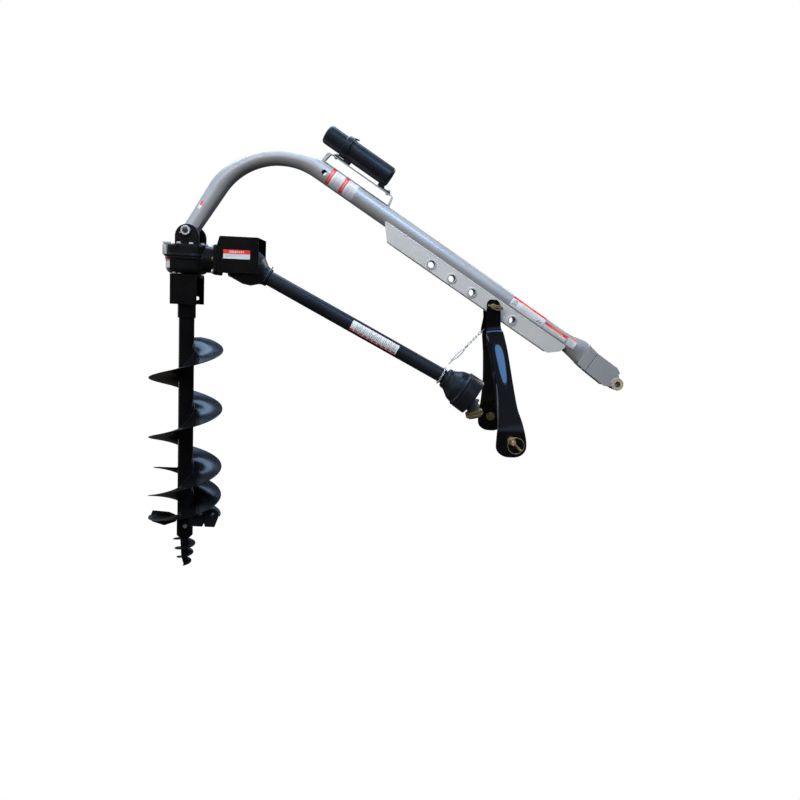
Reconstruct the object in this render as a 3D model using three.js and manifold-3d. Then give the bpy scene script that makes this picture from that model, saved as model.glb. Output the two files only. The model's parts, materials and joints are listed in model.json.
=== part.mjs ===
// Tractor post hole digger: bent boom, hanger yoke, bevel gearbox, earth auger and PTO driveline.
// Millimetres, +Z up, +X towards the tractor. Origin: centre of the boom's top-link pin.
import * as THREE from 'three';
import { mergeVertices } from 'three/addons/utils/BufferGeometryUtils.js';
import Module from 'manifold-3d';

const wasm = await Module();
wasm.setup();

// ---------------------------------------------------------------- driving dimensions
const DEG = Math.PI / 180;
const GAP = 0.4; // clearance between touching pieces

// boom
const BOOM_ANGLE = 31.5 * DEG; // slope of the straight part
const TUBE_R = 38.1; // 3 inch pipe
const TUBE_WALL = 5;
const TUBE_RISE = 27; // tube axis above the top-link pin, square to the boom
const TUBE_END = 128; // open end, measured up the boom from the pin
const BEND_START = 1536;
const BEND_R = 297.5;
const EAR_PIN = new THREE.Vector2(-1817, 549); // x, z of the gearbox pivot

// side plates and hitch holes
const PLATE_Y = 40; // outer face of each plate
const PLATE_T = 8;
const HITCH_COUNT = 5;
const HITCH_FIRST = 525; // lowest hole, up the boom from the pin
const HITCH_PITCH = 102.5;
const HITCH_W = -31;
const YOKE_HOLE = 1; // the hole that the hanger yoke is pinned in
const BUSH_R = 19;
const BUSH_BORE = 14;
const BUSH_Y = 43;

// hanger yoke
const LEG_TOP_Y = 58;
const LEG_LOW_Y = 303;
const LEG_T = 12;
const HITCH_PIN = new THREE.Vector2(-480, -212); // x, z of the lower hitch pins
const HITCH_PIN_R = 11;
const LINCHPIN_TURN = 134 * DEG; // its tip points down to the right

// gearbox and auger, radii about the auger's axis
const AUGER_X = -1828;
const INPUT_Z = 438; // input shaft's height
const PARTING_Z = 444;
const COVER_TOP = 491;
const HOUSING_BOTTOM = 374;
const CASE_R = 88;
const EAR_Y = 65;
const EAR_T = 14;
const PIVOT_R = 19;
const RING_TEETH = 36;
const PINION_TEETH = 12;
const AUGER_TUBE_R = 31.75;
const AUGER_R = 152.4; // 12 inch auger
const FLIGHT_PITCH = 254;
const COLLAR_R = 37;

// driveline, distances from the gearbox-end joint along the drive axis
const JOINT_X = 215; // joint centre from the auger's axis
const DRIVE_ANGLE = 26.7 * DEG;
const DRIVE_LENGTH = 1108;
const FORK_ROOT = 46;
const SHIELD_R = 31;
const NECK_S = 985;
const BELL_DROOP = 6 * DEG;
const HANG_ANGLE = 73.3 * DEG; // the tractor-end yoke hangs this far below level

// ---------------------------------------------------------------- materials
function paint(color, roughness, metalness) {
  return new THREE.MeshStandardMaterial({ color, roughness, metalness });
}
const SILVER = [0xb4b7b8, 0.45, 0.35];
const GREY = [0x9a9c9a, 0.5, 0.35];
const GLOSS_BLACK = [0x0d0e11, 0.15, 0.2];
const SATIN_BLACK = [0x151616, 0.45, 0.3];
const CAST_BLACK = [0x1a1b1a, 0.55, 0.4];
const PLASTIC = [0x1c2026, 0.5, 0];
const ZINC = [0xc9cac6, 0.35, 0.9];
const GOLD_ZINC = [0xb09a52, 0.35, 0.9];
const COPPER = [0xd08a5a, 0.35, 0.8];
const STEEL = [0x8d8f92, 0.4, 0.9];

// ---------------------------------------------------------------- geometry helpers
function signedVolume(geometry) {
  const p = geometry.attributes.position;
  const index = geometry.index.array;
  const corners = [new THREE.Vector3(), new THREE.Vector3(), new THREE.Vector3()];
  let sum = 0;
  for (let i = 0; i < index.length; i += 3) {
    corners.forEach((corner, k) => corner.fromBufferAttribute(p, index[i + k]));
    sum += corners[0].dot(corners[1].cross(corners[2]));
  }
  return sum / 6;
}

// Shared vertices merged and faces turned outwards.
function closed(geometry) {
  const bare = geometry.clone();
  bare.deleteAttribute('normal');
  bare.deleteAttribute('uv');
  const merged = mergeVertices(bare, 1e-3);
  const index = Array.from(merged.index.array);
  const kept = [];
  for (let i = 0; i < index.length; i += 3) {
    const [a, b, c] = index.slice(i, i + 3);
    if (a !== b && b !== c && a !== c) kept.push(a, b, c);
  }
  merged.setIndex(kept);
  if (signedVolume(merged) < 0) {
    for (let i = 0; i < kept.length; i += 3) [kept[i], kept[i + 1]] = [kept[i + 1], kept[i]];
    merged.setIndex(kept);
  }
  return merged;
}

function solid(geometry) {
  const g = closed(geometry);
  const mesh = new wasm.Mesh({
    numProp: 3,
    vertProperties: new Float32Array(g.attributes.position.array),
    triVerts: new Uint32Array(g.index.array),
  });
  return new wasm.Manifold(mesh);
}

function geometryOf(manifold) {
  const mesh = manifold.getMesh();
  const geometry = new THREE.BufferGeometry();
  geometry.setAttribute('position', new THREE.BufferAttribute(new Float32Array(mesh.vertProperties), 3));
  geometry.setIndex(Array.from(mesh.triVerts));
  return geometry;
}

function join(...geometries) {
  return geometryOf(geometries.map(solid).reduce((sum, item) => sum.add(item)));
}

function cut(geometry, ...tools) {
  return geometryOf(tools.map(solid).reduce((rest, item) => rest.subtract(item), solid(geometry)));
}

// Turns a geometry built along +Y so that it lies along the named axis.
function along(axis, geometry) {
  if (axis === 'x') geometry.rotateZ(-90 * DEG);
  if (axis === 'z') geometry.rotateX(90 * DEG);
  return geometry;
}

function cylinder(axis, radius, from, to, centre = [0, 0, 0], sides = 18) {
  const geometry = along(axis, new THREE.CylinderGeometry(radius, radius, Math.abs(to - from), sides));
  const middle = (from + to) / 2;
  const shift = { x: [middle, 0, 0], y: [0, middle, 0], z: [0, 0, middle] }[axis];
  return geometry.translate(shift[0] + centre[0], shift[1] + centre[1], shift[2] + centre[2]);
}

// A solid of revolution: profile is [radius, distance along the axis].
function turned(axis, profile, centre = [0, 0, 0], sides = 18) {
  const points = profile.map(([r, h]) => new THREE.Vector2(r, h));
  const onAxis = profile[0][0] === 0 && profile[profile.length - 1][0] === 0;
  if (!onAxis) points.push(points[0].clone());
  const geometry = new THREE.LatheGeometry(points, sides);
  return along(axis, geometry).translate(...centre);
}

function ring(axis, outer, inner, from, to, centre = [0, 0, 0], sides = 18) {
  return turned(axis, [[inner, from], [outer, from], [outer, to], [inner, to]], centre, sides);
}

function box(x0, x1, y0, y1, z0, z1) {
  const geometry = new THREE.BoxGeometry(x1 - x0, y1 - y0, z1 - z0);
  return geometry.translate((x0 + x1) / 2, (y0 + y1) / 2, (z0 + z1) / 2);
}

function outline(points) {
  return new THREE.Shape(points.map(([x, z]) => new THREE.Vector2(x, z)));
}

// A plate whose outline lies in the XZ plane, from y0 to y1.
function plateXZ(shape, y0, y1, arcSteps = 10) {
  const options = { depth: y1 - y0, bevelEnabled: false, curveSegments: arcSteps };
  return new THREE.ExtrudeGeometry(shape, options).rotateX(90 * DEG).translate(0, y1, 0);
}

// A round-cornered plate square to X, centred on height z.
function plateYZ(width, height, corner, x0, x1, z) {
  const shape = new THREE.Shape();
  const y = width / 2;
  const h = height / 2;
  shape.moveTo(-y + corner, -h);
  shape.lineTo(y - corner, -h);
  shape.absarc(y - corner, -h + corner, corner, -90 * DEG, 0, false);
  shape.lineTo(y, h - corner);
  shape.absarc(y - corner, h - corner, corner, 0, 90 * DEG, false);
  shape.lineTo(-y + corner, h);
  shape.absarc(-y + corner, h - corner, corner, 90 * DEG, 180 * DEG, false);
  shape.lineTo(-y, -h + corner);
  shape.absarc(-y + corner, -h + corner, corner, 180 * DEG, 270 * DEG, false);
  const options = { depth: x1 - x0, bevelEnabled: false, curveSegments: 4 };
  const geometry = new THREE.ExtrudeGeometry(shape, options);
  return geometry.rotateX(90 * DEG).rotateZ(90 * DEG).translate(x0, 0, z);
}

function roundHole(shape, x, z, radius) {
  const hole = new THREE.Path();
  hole.absarc(x, z, radius, 0, 2 * Math.PI, true);
  shape.holes.push(hole);
}

// Section point k: m blends an ellipse (0) with a rectangle (1) of the same half sizes.
function sectionPoint(station, k, sides, inset) {
  const angle = (2 * Math.PI * k) / sides;
  const c = Math.cos(angle);
  const s = Math.sin(angle);
  const stretch = 1 + station.m * (1 / Math.max(Math.abs(c), Math.abs(s)) - 1);
  return station.at.clone()
    .addScaledVector(station.wide, (station.a - inset) * c * stretch)
    .addScaledVector(station.thick, (station.b - inset) * s * stretch);
}

// A closed loft through stations; with a wall it is a pipe, open at both ends.
function loft(stations, sides, wall = 0) {
  const positions = [];
  const index = [];
  const insets = wall > 0 ? [0, wall] : [0];
  const count = stations.length;
  const at = (layer, i, k) => (layer * count + i) * sides + (k % sides);
  for (const inset of insets) {
    for (const station of stations) {
      for (let k = 0; k < sides; k += 1) positions.push(...sectionPoint(station, k, sides, inset).toArray());
    }
  }
  const quad = (a, b, c, d) => index.push(a, b, c, a, c, d);
  for (let i = 0; i + 1 < count; i += 1) {
    for (let k = 0; k < sides; k += 1) {
      quad(at(0, i, k), at(0, i, k + 1), at(0, i + 1, k + 1), at(0, i + 1, k));
      if (wall > 0) quad(at(1, i, k + 1), at(1, i, k), at(1, i + 1, k), at(1, i + 1, k + 1));
    }
  }
  for (let k = 0; k < sides; k += 1) {
    if (wall > 0) {
      quad(at(1, 0, k), at(1, 0, k + 1), at(0, 0, k + 1), at(0, 0, k));
      quad(at(0, count - 1, k), at(0, count - 1, k + 1), at(1, count - 1, k + 1), at(1, count - 1, k));
    } else if (k > 0 && k + 1 < sides) {
      index.push(at(0, 0, 0), at(0, 0, k + 1), at(0, 0, k));
      index.push(at(0, count - 1, 0), at(0, count - 1, k), at(0, count - 1, k + 1));
    }
  }
  const geometry = new THREE.BufferGeometry();
  geometry.setAttribute('position', new THREE.Float32BufferAttribute(positions, 3));
  geometry.setIndex(index);
  return geometry;
}

// A helical blade: each step gives the angle, height, inner and outer radius and thickness.
function helixBlade(steps) {
  const positions = [];
  const index = [];
  for (const { angle, z, inner, outer, thick } of steps) {
    const c = Math.cos(angle);
    const s = Math.sin(angle);
    const edge = thick * 0.7;
    const corners = [[inner, -thick / 2], [outer, -edge / 2], [outer, edge / 2], [inner, thick / 2]];
    for (const [r, h] of corners) positions.push(r * c, r * s, z + h);
  }
  const quad = (a, b, c, d) => index.push(a, b, c, a, c, d);
  for (let i = 0; i + 1 < steps.length; i += 1) {
    for (let k = 0; k < 4; k += 1) {
      const next = (k + 1) % 4;
      quad(4 * i + k, 4 * i + next, 4 * i + 4 + next, 4 * i + 4 + k);
    }
  }
  const last = 4 * (steps.length - 1);
  quad(3, 2, 1, 0);
  quad(last, last + 1, last + 2, last + 3);
  const geometry = new THREE.BufferGeometry();
  geometry.setAttribute('position', new THREE.Float32BufferAttribute(positions, 3));
  geometry.setIndex(index);
  return geometry;
}

// A hexagon-headed bolt along +Y: the head's underside at 0, the shank running to -length.
function bolt(radius, length, nut = 0) {
  const headR = radius * 1.75;
  const headH = radius * 1.3;
  const pieces = [
    new THREE.CylinderGeometry(headR, headR, headH, 6).translate(0, headH / 2, 0),
    new THREE.CylinderGeometry(radius, radius, length + 1, 12).translate(0, (1 - length) / 2, 0),
  ];
  if (nut > 0) {
    const nutH = radius * 1.5;
    pieces.push(new THREE.CylinderGeometry(headR, headR, nutH, 6).translate(0, -nut - nutH / 2, 0));
  }
  return join(...pieces);
}

const object = new THREE.Group();

function add(group, name, geometry, finish) {
  const mesh = new THREE.Mesh(closed(geometry), paint(...finish));
  mesh.name = name;
  group.add(mesh);
  return mesh;
}

// ---------------------------------------------------------------- boom
// Local frame of the straight boom: x runs down the boom to the tractor, z is square to it.
const boom = new THREE.Group();
boom.rotation.y = BOOM_ANGLE;
object.add(boom);

function boomToWorld(u, w) {
  const c = Math.cos(BOOM_ANGLE);
  const s = Math.sin(BOOM_ANGLE);
  return new THREE.Vector2(u * c + w * s, w * c - u * s);
}

function tubeStation(point, direction, a, b, m, shift = 0) {
  const thick = new THREE.Vector3(-direction.y, 0, direction.x);
  const at = new THREE.Vector3(point.x, 0, point.y).addScaledVector(thick, shift);
  return { at, wide: new THREE.Vector3(0, 1, 0), thick, a, b, m };
}

function boomStations() {
  const stations = [];
  const down = new THREE.Vector2(Math.cos(BOOM_ANGLE), -Math.sin(BOOM_ANGLE));
  // distance up the boom, half width, half height, squareness, drop of the centre
  const straight = [
    [TUBE_END, 21, 44, 0.55, -10], [160, 23, 44, 0.45, -5], [200, 28, 44, 0.2, 1],
    [260, 35, 40, 0, 1], [310, TUBE_R, TUBE_R, 0, 0], [900, TUBE_R, TUBE_R, 0, 0],
    [BEND_START - 60, TUBE_R, TUBE_R, 0, 0],
  ];
  for (const [up, a, b, m, shift] of straight) {
    stations.push(tubeStation(boomToWorld(-up, TUBE_RISE), down, a, b, m, shift));
  }
  const centre = boomToWorld(-BEND_START, TUBE_RISE - BEND_R);
  const toPin = EAR_PIN.clone().sub(centre);
  const first = 90 * DEG - BOOM_ANGLE;
  const last = toPin.angle() - Math.acos(BEND_R / toPin.length());
  const steps = 10;
  for (let i = 0; i <= steps; i += 1) {
    const t = i / steps;
    const angle = first + (last - first) * t;
    const flat = Math.min(1, 4 * t, 3 * (1 - t)); // the bend flattens the pipe
    const point = new THREE.Vector2(Math.cos(angle), Math.sin(angle)).multiplyScalar(BEND_R).add(centre);
    const direction = new THREE.Vector2(Math.sin(angle), -Math.cos(angle));
    stations.push(tubeStation(point, direction, TUBE_R + 4 * flat, TUBE_R - 5 * flat, 0, -5 * flat));
  }
  const legStart = new THREE.Vector2(Math.cos(last), Math.sin(last)).multiplyScalar(BEND_R).add(centre);
  const legDirection = new THREE.Vector2(Math.sin(last), -Math.cos(last));
  const legLength = legStart.distanceTo(EAR_PIN);
  for (const [left, a, b, m] of [[100, 38, 35, 0.1], [60, 40, 33, 0.3], [29, 42, 31, 0.45]]) {
    const point = legStart.clone().addScaledVector(legDirection, left - legLength);
    stations.push(tubeStation(point, legDirection, a, b, m));
  }
  return stations;
}

const canisterHole = cylinder('y', 11, -60, 60, [0, 0, 0], 16);
canisterHole.translate(boomToWorld(-1503, TUBE_RISE).x, 0, boomToWorld(-1503, TUBE_RISE).y);
add(object, 'boom_tube', cut(loft(boomStations(), 16, TUBE_WALL), canisterHole), SILVER);

const hitchU = (i) => -(HITCH_FIRST + HITCH_PITCH * i);
const sidePlate = outline([
  [-1191, 4], [-1139, -58], [-325, -58], [-284, -24], [-274, 4],
]);
for (let i = 0; i < HITCH_COUNT; i += 1) roundHole(sidePlate, hitchU(i), HITCH_W, BUSH_R + GAP);
add(boom, 'side_plate_near', plateXZ(sidePlate, -PLATE_Y, PLATE_T - PLATE_Y), GREY);
add(boom, 'side_plate_far', plateXZ(sidePlate, PLATE_Y - PLATE_T, PLATE_Y), GREY);
for (let i = 0; i < HITCH_COUNT; i += 1) {
  const centre = [hitchU(i), 0, HITCH_W];
  add(boom, `hitch_bush_${i + 1}`, ring('y', BUSH_R, BUSH_BORE, -BUSH_Y, BUSH_Y, centre), GREY);
}

// clevis at the tractor end: two cheeks beside the flattened tube, and a bush for the top-link pin
const TOP_LINK_R = 26;
const cheek = new THREE.Shape();
cheek.moveTo(-190, -22);
cheek.lineTo(-146, -30);
cheek.lineTo(-50, -36);
cheek.lineTo(-36, -34);
cheek.absarc(0, 0, TOP_LINK_R + GAP, 235 * DEG, 105 * DEG, true);
cheek.lineTo(-24, 42);
cheek.lineTo(-48, 55);
cheek.lineTo(-144, 60);
cheek.lineTo(-190, 68);
add(boom, 'clevis_plate_near', plateXZ(cheek, -38, -30), SILVER);
add(boom, 'clevis_plate_far', plateXZ(cheek, 30, 38), SILVER);
add(boom, 'top_link_bush', ring('y', TOP_LINK_R, 12.8, -41, 41, [0, 0, 0], 24), STEEL);

add(object, 'boom_sleeve', ring('y', 26, PIVOT_R + GAP, -49, 49, [EAR_PIN.x, 0, EAR_PIN.y]), SILVER);

// manual canister and its strap bracket
const CANISTER_W = 165;
const CANISTER_SPLIT = -1471; // where the cap meets the body
const RAIL_W = 109;
const STRAP_T = 3;
const FOOT_LEFT = -1537;
const FOOT_RIGHT = -1212;
const strapLow = TUBE_RISE + TUBE_R + GAP;
const strap = outline([
  [FOOT_LEFT, strapLow], [FOOT_RIGHT, strapLow], [-1224, RAIL_W], [-1527, RAIL_W],
]);
const strapHole = new THREE.Path([
  [FOOT_LEFT + 5, strapLow + STRAP_T], [FOOT_RIGHT - 5, strapLow + STRAP_T],
  [-1227, RAIL_W - STRAP_T], [-1524, RAIL_W - STRAP_T],
].map(([x, z]) => new THREE.Vector2(x, z)));
strap.holes.push(strapHole);
const TAB_U = [-1502, -1248];
const tabHoles = TAB_U.map((u) => cylinder('z', 4.5, RAIL_W - 10, RAIL_W + 10, [u, 0, 0], 12));
add(boom, 'canister_bracket', cut(plateXZ(strap, -13, 13), ...tabHoles), ZINC);

const bodyAlong = [[0, 0], [38, 0], [42, 6], [42, 196], [36, 201], [0, 201]];
const hollow = turned('x', [[0, -5], [38, -5], [38, 190], [0, 190]], [CANISTER_SPLIT, 0, CANISTER_W]);
const footTop = CANISTER_W - 30;
const canister = join(
  turned('x', bodyAlong, [CANISTER_SPLIT, 0, CANISTER_W]),
  box(CANISTER_SPLIT + 1, -1440, -15, 15, RAIL_W + GAP, footTop),
  box(TAB_U[0] - 10, -1440, -15, 15, RAIL_W + GAP, RAIL_W + 6),
  box(-1300, -1276, -15, 15, RAIL_W + GAP, footTop),
  box(-1300, TAB_U[1] + 10, -15, 15, RAIL_W + GAP, RAIL_W + 6),
);
const canisterBoltHoles = TAB_U.map((u) => cylinder('z', 4.5, RAIL_W - 10, RAIL_W + 12, [u, 0, 0], 12));
add(boom, 'canister_body', cut(canister, hollow, ...canisterBoltHoles), PLASTIC);
const capProfile = [
  [0, -115], [34, -115], [39.5, -109], [39.5, -26], [47, -26], [47, -GAP], [35, -GAP], [35, -100], [0, -100],
];
add(boom, 'canister_cap', turned('x', capProfile, [CANISTER_SPLIT, 0, CANISTER_W]), PLASTIC);

// ---------------------------------------------------------------- hanger yoke
const yokePin = boomToWorld(hitchU(YOKE_HOLE), HITCH_W);

function legStations(side) {
  const wideAt = (tilt) => new THREE.Vector3(Math.cos(tilt), 0, Math.sin(tilt));
  const tilt = 7 * DEG;
  // x, y, z, half width, half thickness, squareness, slope of the face in Y per unit of height
  const rows = [
    [-551, LEG_TOP_Y, yokePin.y + 29, 12, LEG_T / 2, 1, 0],
    [-550, LEG_TOP_Y, yokePin.y + 24, 20, LEG_T / 2, 1, 0],
    [-550, LEG_TOP_Y, yokePin.y + 15, 26, LEG_T / 2, 1, 0],
    [-548, LEG_TOP_Y, yokePin.y, 29, LEG_T / 2, 1, 0],
    [-541, LEG_TOP_Y, 212, 30, LEG_T / 2, 1, 0.1],
    [-537, LEG_TOP_Y + 8, 188, 37, 10, 0.6, 0.5],
    [-531, LEG_TOP_Y + 24, 158, 38, 20, 0.15, 0.62],
    [-520, LEG_TOP_Y + 60, 98, 38, 26, 0, 0.62],
    [-504, LEG_TOP_Y + 138, -20, 38, 26, 0, 0.62],
    [-495, LEG_TOP_Y + 190, -98, 42, 20, 0.1, 0.6],
    [-487, LEG_LOW_Y - 18, -143, 48, 12, 0.5, 0.5],
    [-483, LEG_LOW_Y, -175, 54, LEG_T / 2, 1, 0],
    [HITCH_PIN.x + 1, LEG_LOW_Y, HITCH_PIN.y, 59, LEG_T / 2, 1, 0],
    [-478, LEG_LOW_Y, -246, 60, LEG_T / 2, 1, 0],
    [-478, LEG_LOW_Y, -262, 52, LEG_T / 2, 1, 0],
    [-478, LEG_LOW_Y, -275, 34, LEG_T / 2, 1, 0],
  ];
  return rows.map(([x, y, z, a, b, m, slope]) => ({
    at: new THREE.Vector3(x, side * y, z),
    wide: slope === 0 ? new THREE.Vector3(1, 0, 0) : wideAt(tilt),
    thick: new THREE.Vector3(0, side, slope).normalize(),
    a, b, m,
  }));
}

const SIDES = { near: -1, far: 1 };
for (const [label, side] of Object.entries(SIDES)) {
  const pinHole = cylinder('y', BUSH_BORE - 3 + GAP, side * 40, side * 80, [yokePin.x, 0, yokePin.y], 20);
  const lowHole = cylinder('y', HITCH_PIN_R + GAP, side * 280, side * 330, [HITCH_PIN.x, 0, HITCH_PIN.y], 20);
  add(object, `yoke_leg_${label}`, cut(loft(legStations(side), 16), pinHole, lowHole), GLOSS_BLACK);

  // lower hitch pin: threaded end and nut inside, shoulder and linchpin hole outside
  const outer = LEG_LOW_Y + LEG_T / 2;
  const inner = LEG_LOW_Y - LEG_T / 2;
  const span = (r, from, to, sides = 20) => cylinder('y', r, side * from, side * to,
    [HITCH_PIN.x, 0, HITCH_PIN.y], sides);
  const pin = join(span(HITCH_PIN_R, inner - 22, outer + 60), span(16, outer + GAP, outer + 7));
  const nut = cut(span(19, inner - 18, inner - GAP, 6), span(HITCH_PIN_R + GAP, inner - 30, inner + 30));
  add(object, `hitch_pin_nut_${label}`, nut, GOLD_ZINC);
  const placed = (geometry) => geometry.rotateY(LINCHPIN_TURN)
    .translate(HITCH_PIN.x, side * (outer + 48), HITCH_PIN.y);
  const shank = cylinder('z', 4.8, -16, 48, [0, 0, 0], 12);
  const head = cylinder('z', 7.5, -22, -12, [0, 0, 0], 16);
  const hole = cylinder('z', 5.2, -30, 30, [0, 0, 0], 12);
  add(object, `hitch_pin_${label}`, cut(pin, placed(hole)), COPPER);
  add(object, `linchpin_${label}`, placed(join(shank, head)), GOLD_ZINC);
}

const YOKE_PIN_R = BUSH_BORE - 3;
const pinBody = join(
  cylinder('y', YOKE_PIN_R, -82, 70, [yokePin.x, 0, yokePin.y], 20),
  cylinder('y', 18, LEG_TOP_Y + LEG_T / 2 + GAP, 76, [yokePin.x, 0, yokePin.y], 20),
);
const clipHole = cylinder('x', 4.6, -30, 30, [yokePin.x, -74, yokePin.y], 12);
add(object, 'yoke_pin', cut(pinBody, clipHole), GOLD_ZINC);
const clipShank = cylinder('x', 4.2, -26, 30, [yokePin.x, -74, yokePin.y], 12);
const clipHead = cylinder('x', 8, 30, 38, [yokePin.x, -74, yokePin.y], 16);
add(object, 'yoke_pin_clip', join(clipShank, clipHead), GOLD_ZINC);

// ---------------------------------------------------------------- gearbox
const gearbox = new THREE.Group();
gearbox.position.x = AUGER_X;
object.add(gearbox);
const pivotX = EAR_PIN.x - AUGER_X;

const BOSS_R = 54;
const BOSS_START = 60;
const INPUT_BORE = 36;
const boss = cylinder('x', BOSS_R, BOSS_START, 122, [0, 0, INPUT_Z], 28);
const bossFlange = plateYZ(124, 124, 18, 122, 136, INPUT_Z);
const bowlProfile = [
  [0, HOUSING_BOTTOM], [58, HOUSING_BOTTOM], [76, HOUSING_BOTTOM + 7], [CASE_R - 4, HOUSING_BOTTOM + 22],
  [CASE_R - 3, PARTING_Z - 12], [CASE_R, PARTING_Z - 10], [CASE_R, PARTING_Z], [0, PARTING_Z],
];
const cavity = turned('z', [
  [0, HOUSING_BOTTOM + 18], [72, HOUSING_BOTTOM + 18], [74, HOUSING_BOTTOM + 22], [74, PARTING_Z + 40],
  [0, PARTING_Z + 40],
], [0, 0, 0], 26);
const OUTPUT_BEARING_R = 31;
const housing = cut(
  join(turned('z', bowlProfile, [0, 0, 0], 26), boss, bossFlange),
  cavity,
  cylinder('z', OUTPUT_BEARING_R + GAP, HOUSING_BOTTOM + 3, 480),
  cylinder('z', 23, HOUSING_BOTTOM - 10, 480),
  cylinder('x', INPUT_BORE + GAP, 0, 130, [0, 0, INPUT_Z]),
  cylinder('x', 24, 0, 150, [0, 0, INPUT_Z]),
);
add(gearbox, 'gearbox_housing', housing, CAST_BLACK);

// cover: a lid with a skirt, two ears for the boom, notched round the input boss
const EAR_CENTRE = [pivotX + 4, 526];
const EAR_R = 49;
const earShape = new THREE.Shape();
earShape.moveTo(EAR_CENTRE[0] - EAR_R, COVER_TOP - 4);
earShape.lineTo(EAR_CENTRE[0] + EAR_R, COVER_TOP - 4);
earShape.absarc(EAR_CENTRE[0], EAR_CENTRE[1], EAR_R, 0, 180 * DEG, false);
roundHole(earShape, pivotX, EAR_PIN.y, PIVOT_R + GAP);
const lid = turned('z', [
  [0, PARTING_Z + GAP], [CASE_R + 3, PARTING_Z + GAP], [CASE_R + 3, COVER_TOP - 4],
  [CASE_R - 1, COVER_TOP], [0, COVER_TOP],
], [0, 0, 0], 26);
const sideLug = cylinder('z', 11, PARTING_Z + GAP, COVER_TOP - 10, [-72, -50, 0], 16);
const cover = cut(
  join(lid, sideLug, plateXZ(earShape, -EAR_Y, EAR_T - EAR_Y), plateXZ(earShape, EAR_Y - EAR_T, EAR_Y)),
  cylinder('z', 74, PARTING_Z - 5, COVER_TOP - 24, [0, 0, 0], 26),
  cylinder('z', OUTPUT_BEARING_R + GAP, PARTING_Z, COVER_TOP - 8),
  cylinder('x', BOSS_R + GAP, BOSS_START - GAP, 130, [0, 0, INPUT_Z], 28),
  box(118, 140, -70, 70, INPUT_Z - 70, INPUT_Z + 70),
);
add(gearbox, 'gearbox_cover', cover, CAST_BLACK);

const pivotTube = ring('y', PIVOT_R, 12.5, -EAR_Y - 12, EAR_Y + 12, [pivotX, 0, EAR_PIN.y]);
add(gearbox, 'pivot_tube', pivotTube, ZINC);

// bearings, shafts and gears
const bearing = (axis, outer, inner, from, centre) => ring(axis, outer, inner, from, from + 16, centre);
add(gearbox, 'output_bearing_lower', bearing('z', OUTPUT_BEARING_R, 20.5, HOUSING_BOTTOM + 4), STEEL);
add(gearbox, 'output_bearing_upper', bearing('z', OUTPUT_BEARING_R, 20.5, COVER_TOP - 25), STEEL);
add(gearbox, 'input_bearing_inner', bearing('x', INPUT_BORE, 17.6, 76, [0, 0, INPUT_Z]), STEEL);
add(gearbox, 'input_bearing_outer', bearing('x', INPUT_BORE, 17.6, 108, [0, 0, INPUT_Z]), STEEL);

// Straight bevel gear on +Z with its apex at the origin; teeth taper towards the apex.
function bevelGear(teeth, coneAngle, outerCone, face, toothHeight, body) {
  const pieces = [body];
  const innerScale = (outerCone - face) / outerCone;
  const halfTooth = ((2 * Math.PI) / teeth) * 0.2;
  for (let i = 0; i < teeth; i += 1) {
    const corners = [];
    for (const scale of [1, innerScale]) {
      for (const [height, width] of [[-toothHeight, 1], [toothHeight * 0.45, 0.5]]) {
        const cone = outerCone * scale;
        const r = cone * Math.sin(coneAngle) + height * scale * Math.cos(coneAngle);
        const z = cone * Math.cos(coneAngle) - height * scale * Math.sin(coneAngle);
        for (const sign of [-1, 1]) {
          const angle = (2 * Math.PI * i) / teeth + sign * halfTooth * width;
          corners.push([r * Math.cos(angle), r * Math.sin(angle), z]);
        }
      }
    }
    const geometry = new THREE.BufferGeometry();
    geometry.setAttribute('position', new THREE.Float32BufferAttribute(corners.flat(), 3));
    // corners: outer root (0, 1), outer tip (2, 3), inner root (4, 5), inner tip (6, 7)
    geometry.setIndex([0, 1, 3, 0, 3, 2, 4, 7, 5, 4, 6, 7, 0, 2, 6, 0, 6, 4, 1, 5, 7, 1, 7, 3,
      2, 3, 7, 2, 7, 6, 0, 4, 5, 0, 5, 1]);
    pieces.push(geometry);
  }
  return join(...pieces);
}

const RING_PITCH_R = 66;
const PINION_PITCH_R = (RING_PITCH_R * PINION_TEETH) / RING_TEETH;
const CONE = Math.hypot(RING_PITCH_R, PINION_PITCH_R);
const pinionAngle = Math.atan2(PINION_PITCH_R, RING_PITCH_R);
const TOOTH_FACE = 17;
const TOOTH_H = 6;

const auger = new THREE.Group();
auger.position.x = AUGER_X;
object.add(auger);

// ring gear below the pinion: its own axis points down from the apex, so it is turned over
const ringBack = PINION_PITCH_R + 12;
const ringBody = turned('z', [
  [21, 12], [RING_PITCH_R - TOOTH_FACE - 6, 12], [RING_PITCH_R - TOOTH_FACE - 3, 19],
  [RING_PITCH_R + 1, PINION_PITCH_R + 3.8],
  [RING_PITCH_R + 1, ringBack], [21, ringBack],
], [0, 0, 0], RING_TEETH);
const ringGear = bevelGear(RING_TEETH, 90 * DEG - pinionAngle, CONE, TOOTH_FACE, TOOTH_H, ringBody);
ringGear.rotateZ(180 * DEG / RING_TEETH).rotateX(180 * DEG).translate(0, 0, INPUT_Z);
add(auger, 'ring_gear', cut(ringGear, cylinder('z', 20.4, 300, 500)), STEEL);

const inputShaft = new THREE.Group();
inputShaft.position.set(AUGER_X, 0, INPUT_Z);
object.add(inputShaft);
const pinionBody = turned('z', [
  [0, RING_PITCH_R - TOOTH_FACE - 2], [12, RING_PITCH_R - TOOTH_FACE - 2],
  [PINION_PITCH_R - 3.6, RING_PITCH_R + 1], [PINION_PITCH_R - 3.6, RING_PITCH_R + 8], [0, RING_PITCH_R + 8],
], [0, 0, 0], PINION_TEETH * 2);
const pinion = bevelGear(PINION_TEETH, pinionAngle, CONE, TOOTH_FACE, TOOTH_H, pinionBody);
pinion.rotateY(90 * DEG);
const pinionShaft = join(pinion, cylinder('x', 17, RING_PITCH_R + 4, 146), cylinder('x', 15, 140, 166));
add(inputShaft, 'pinion_shaft', pinionShaft, STEEL);

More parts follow.
